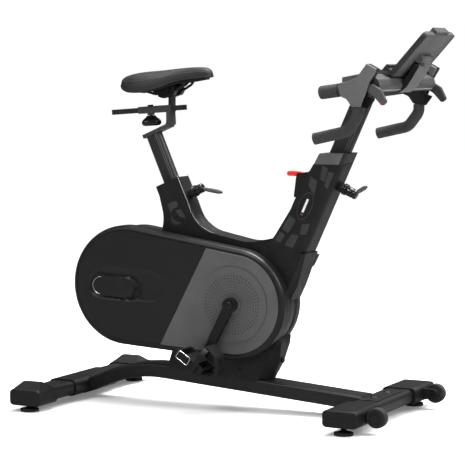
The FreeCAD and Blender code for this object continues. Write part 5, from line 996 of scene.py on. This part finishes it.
add_bar_trim()
add_slider_knob()
add_pull_knob("seat_pull", SEAT_AXIS, -56.0, 51.0, 82.0, (128, -33), "seat_pin_knob", "seat_pin")
add_pull_knob("mast_pull", MAST_AXIS, -225.0, 48.0, 88.0, (103, 32), "mast_pin_knob", "mast_pin")
add_cover_lines()
add_slider_plug()
add_buckles()
add_prints()
add_badge_arc()


# ------------------------------------------------------------------ stage
WORLD_FILL = 0.08
FLOOR_LIFT = 0.17
FLOOR_IN_GLOSS = 0.22
LENS = 158.1
CAMERA_PLACE = (2865.5, -4924.2, 948.4)
CAMERA_DOWN, CAMERA_ROUND = 4.93, 26   # degrees


def add_stage():
    size = 40.0
    mesh = bpy.data.meshes.new("floor")
    mesh.from_pydata([(-size, -size, 0), (size, -size, 0), (size, size, 0), (-size, size, 0)], [], [(0, 1, 2, 3)])
    m = Nodes("pale_floor")
    m.link(m.ramp(m.noise(0.7, 2), grey(0.955), grey(0.965)), m.shader.inputs["Base Color"])
    m.shader.inputs["Roughness"].default_value = 0.85
    m.shader.inputs["Specular IOR Level"].default_value = 0.1
    m.shader.inputs["Emission Color"].default_value = (1, 1, 1, 1)
    m.shader.inputs["Emission Strength"].default_value = FLOOR_LIFT
    path = m.add("ShaderNodeLightPath")
    dark = m.add("ShaderNodeBsdfDiffuse")
    dark.inputs["Color"].default_value = grey(FLOOR_IN_GLOSS)
    mix = m.add("ShaderNodeMixShader")
    m.link(path.outputs["Is Glossy Ray"], mix.inputs["Fac"])
    m.link(m.shader.outputs["BSDF"], mix.inputs[1])
    m.link(dark.outputs["BSDF"], mix.inputs[2])
    m.link(mix.outputs["Shader"], m.tree.nodes["Material Output"].inputs["Surface"])
    mesh.materials.append(m.material)
    floor = bpy.data.objects.new("floor", mesh)
    bpy.context.scene.collection.objects.link(floor)
    world = bpy.data.worlds.new("studio")
    world.use_nodes = True
    tree = world.node_tree
    seen = tree.nodes["Background"]
    seen.inputs["Color"].default_value = (1, 1, 1, 1)
    seen.inputs["Strength"].default_value = 1.0
    dim = tree.nodes.new("ShaderNodeBackground")
    dim.inputs["Color"].default_value = (1, 1, 1, 1)
    dim.inputs["Strength"].default_value = WORLD_FILL
    path = tree.nodes.new("ShaderNodeLightPath")
    mix = tree.nodes.new("ShaderNodeMixShader")
    tree.links.new(path.outputs["Is Camera Ray"], mix.inputs["Fac"])
    tree.links.new(dim.outputs["Background"], mix.inputs[1])
    tree.links.new(seen.outputs["Background"], mix.inputs[2])
    tree.links.new(mix.outputs["Shader"], tree.nodes["World Output"].inputs["Surface"])
    bpy.context.scene.world = world


def add_light(name, place, aim, size, power, size_y=None):
    light = bpy.data.lights.new(name, "AREA")
    light.energy = power
    light.shape = "RECTANGLE"
    light.size = size
    light.size_y = size_y or size
    lamp = bpy.data.objects.new(name, light)
    lamp.location = place
    lamp.rotation_euler = (Vector(aim) - Vector(place)).to_track_quat("-Z", "Y").to_euler()
    bpy.context.scene.collection.objects.link(lamp)


def add_sun(strength, spread, towards):
    sun = bpy.data.lights.new("sky", "SUN")
    sun.energy = strength
    sun.angle = radians(spread)
    lamp = bpy.data.objects.new("sky", sun)
    lamp.rotation_euler = Vector(towards).to_track_quat("Z", "Y").to_euler()
    bpy.context.scene.collection.objects.link(lamp)


def add_camera():
    data = bpy.data.cameras.new("camera")
    data.sensor_width = 36
    data.lens = LENS
    data.clip_end = 200
    camera = bpy.data.objects.new("camera", data)
    camera.location = at(*CAMERA_PLACE)
    camera.rotation_euler = (radians(90 - CAMERA_DOWN), 0, radians(CAMERA_ROUND))
    bpy.context.scene.collection.objects.link(camera)
    bpy.context.scene.camera = camera


add_stage()
add_light("near_softbox", (-0.6, -2.8, 3.0), (0, 0, 0.5), 1.0, 55)
add_light("front_softbox", (3.2, 0.4, 2.4), (0.1, 0, 0.6), 0.9, 60, 1.8)
add_sun(2.8, 80, (0.30, 0.30, 1.0))
add_light("overhead", (0.4, 0.6, 3.2), (0, 0, 0.4), 1.6, 150)
add_light("front_right", (3.0, -2.4, 2.4), (0.1, 0, 0.6), 1.2, 20, 2.0)
add_light("rear_left", (-2.6, -2.4, 2.6), (0, 0, 0.5), 1.2, 16, 2.0)
add_camera()
bpy.context.scene.view_settings.view_transform = "Standard"
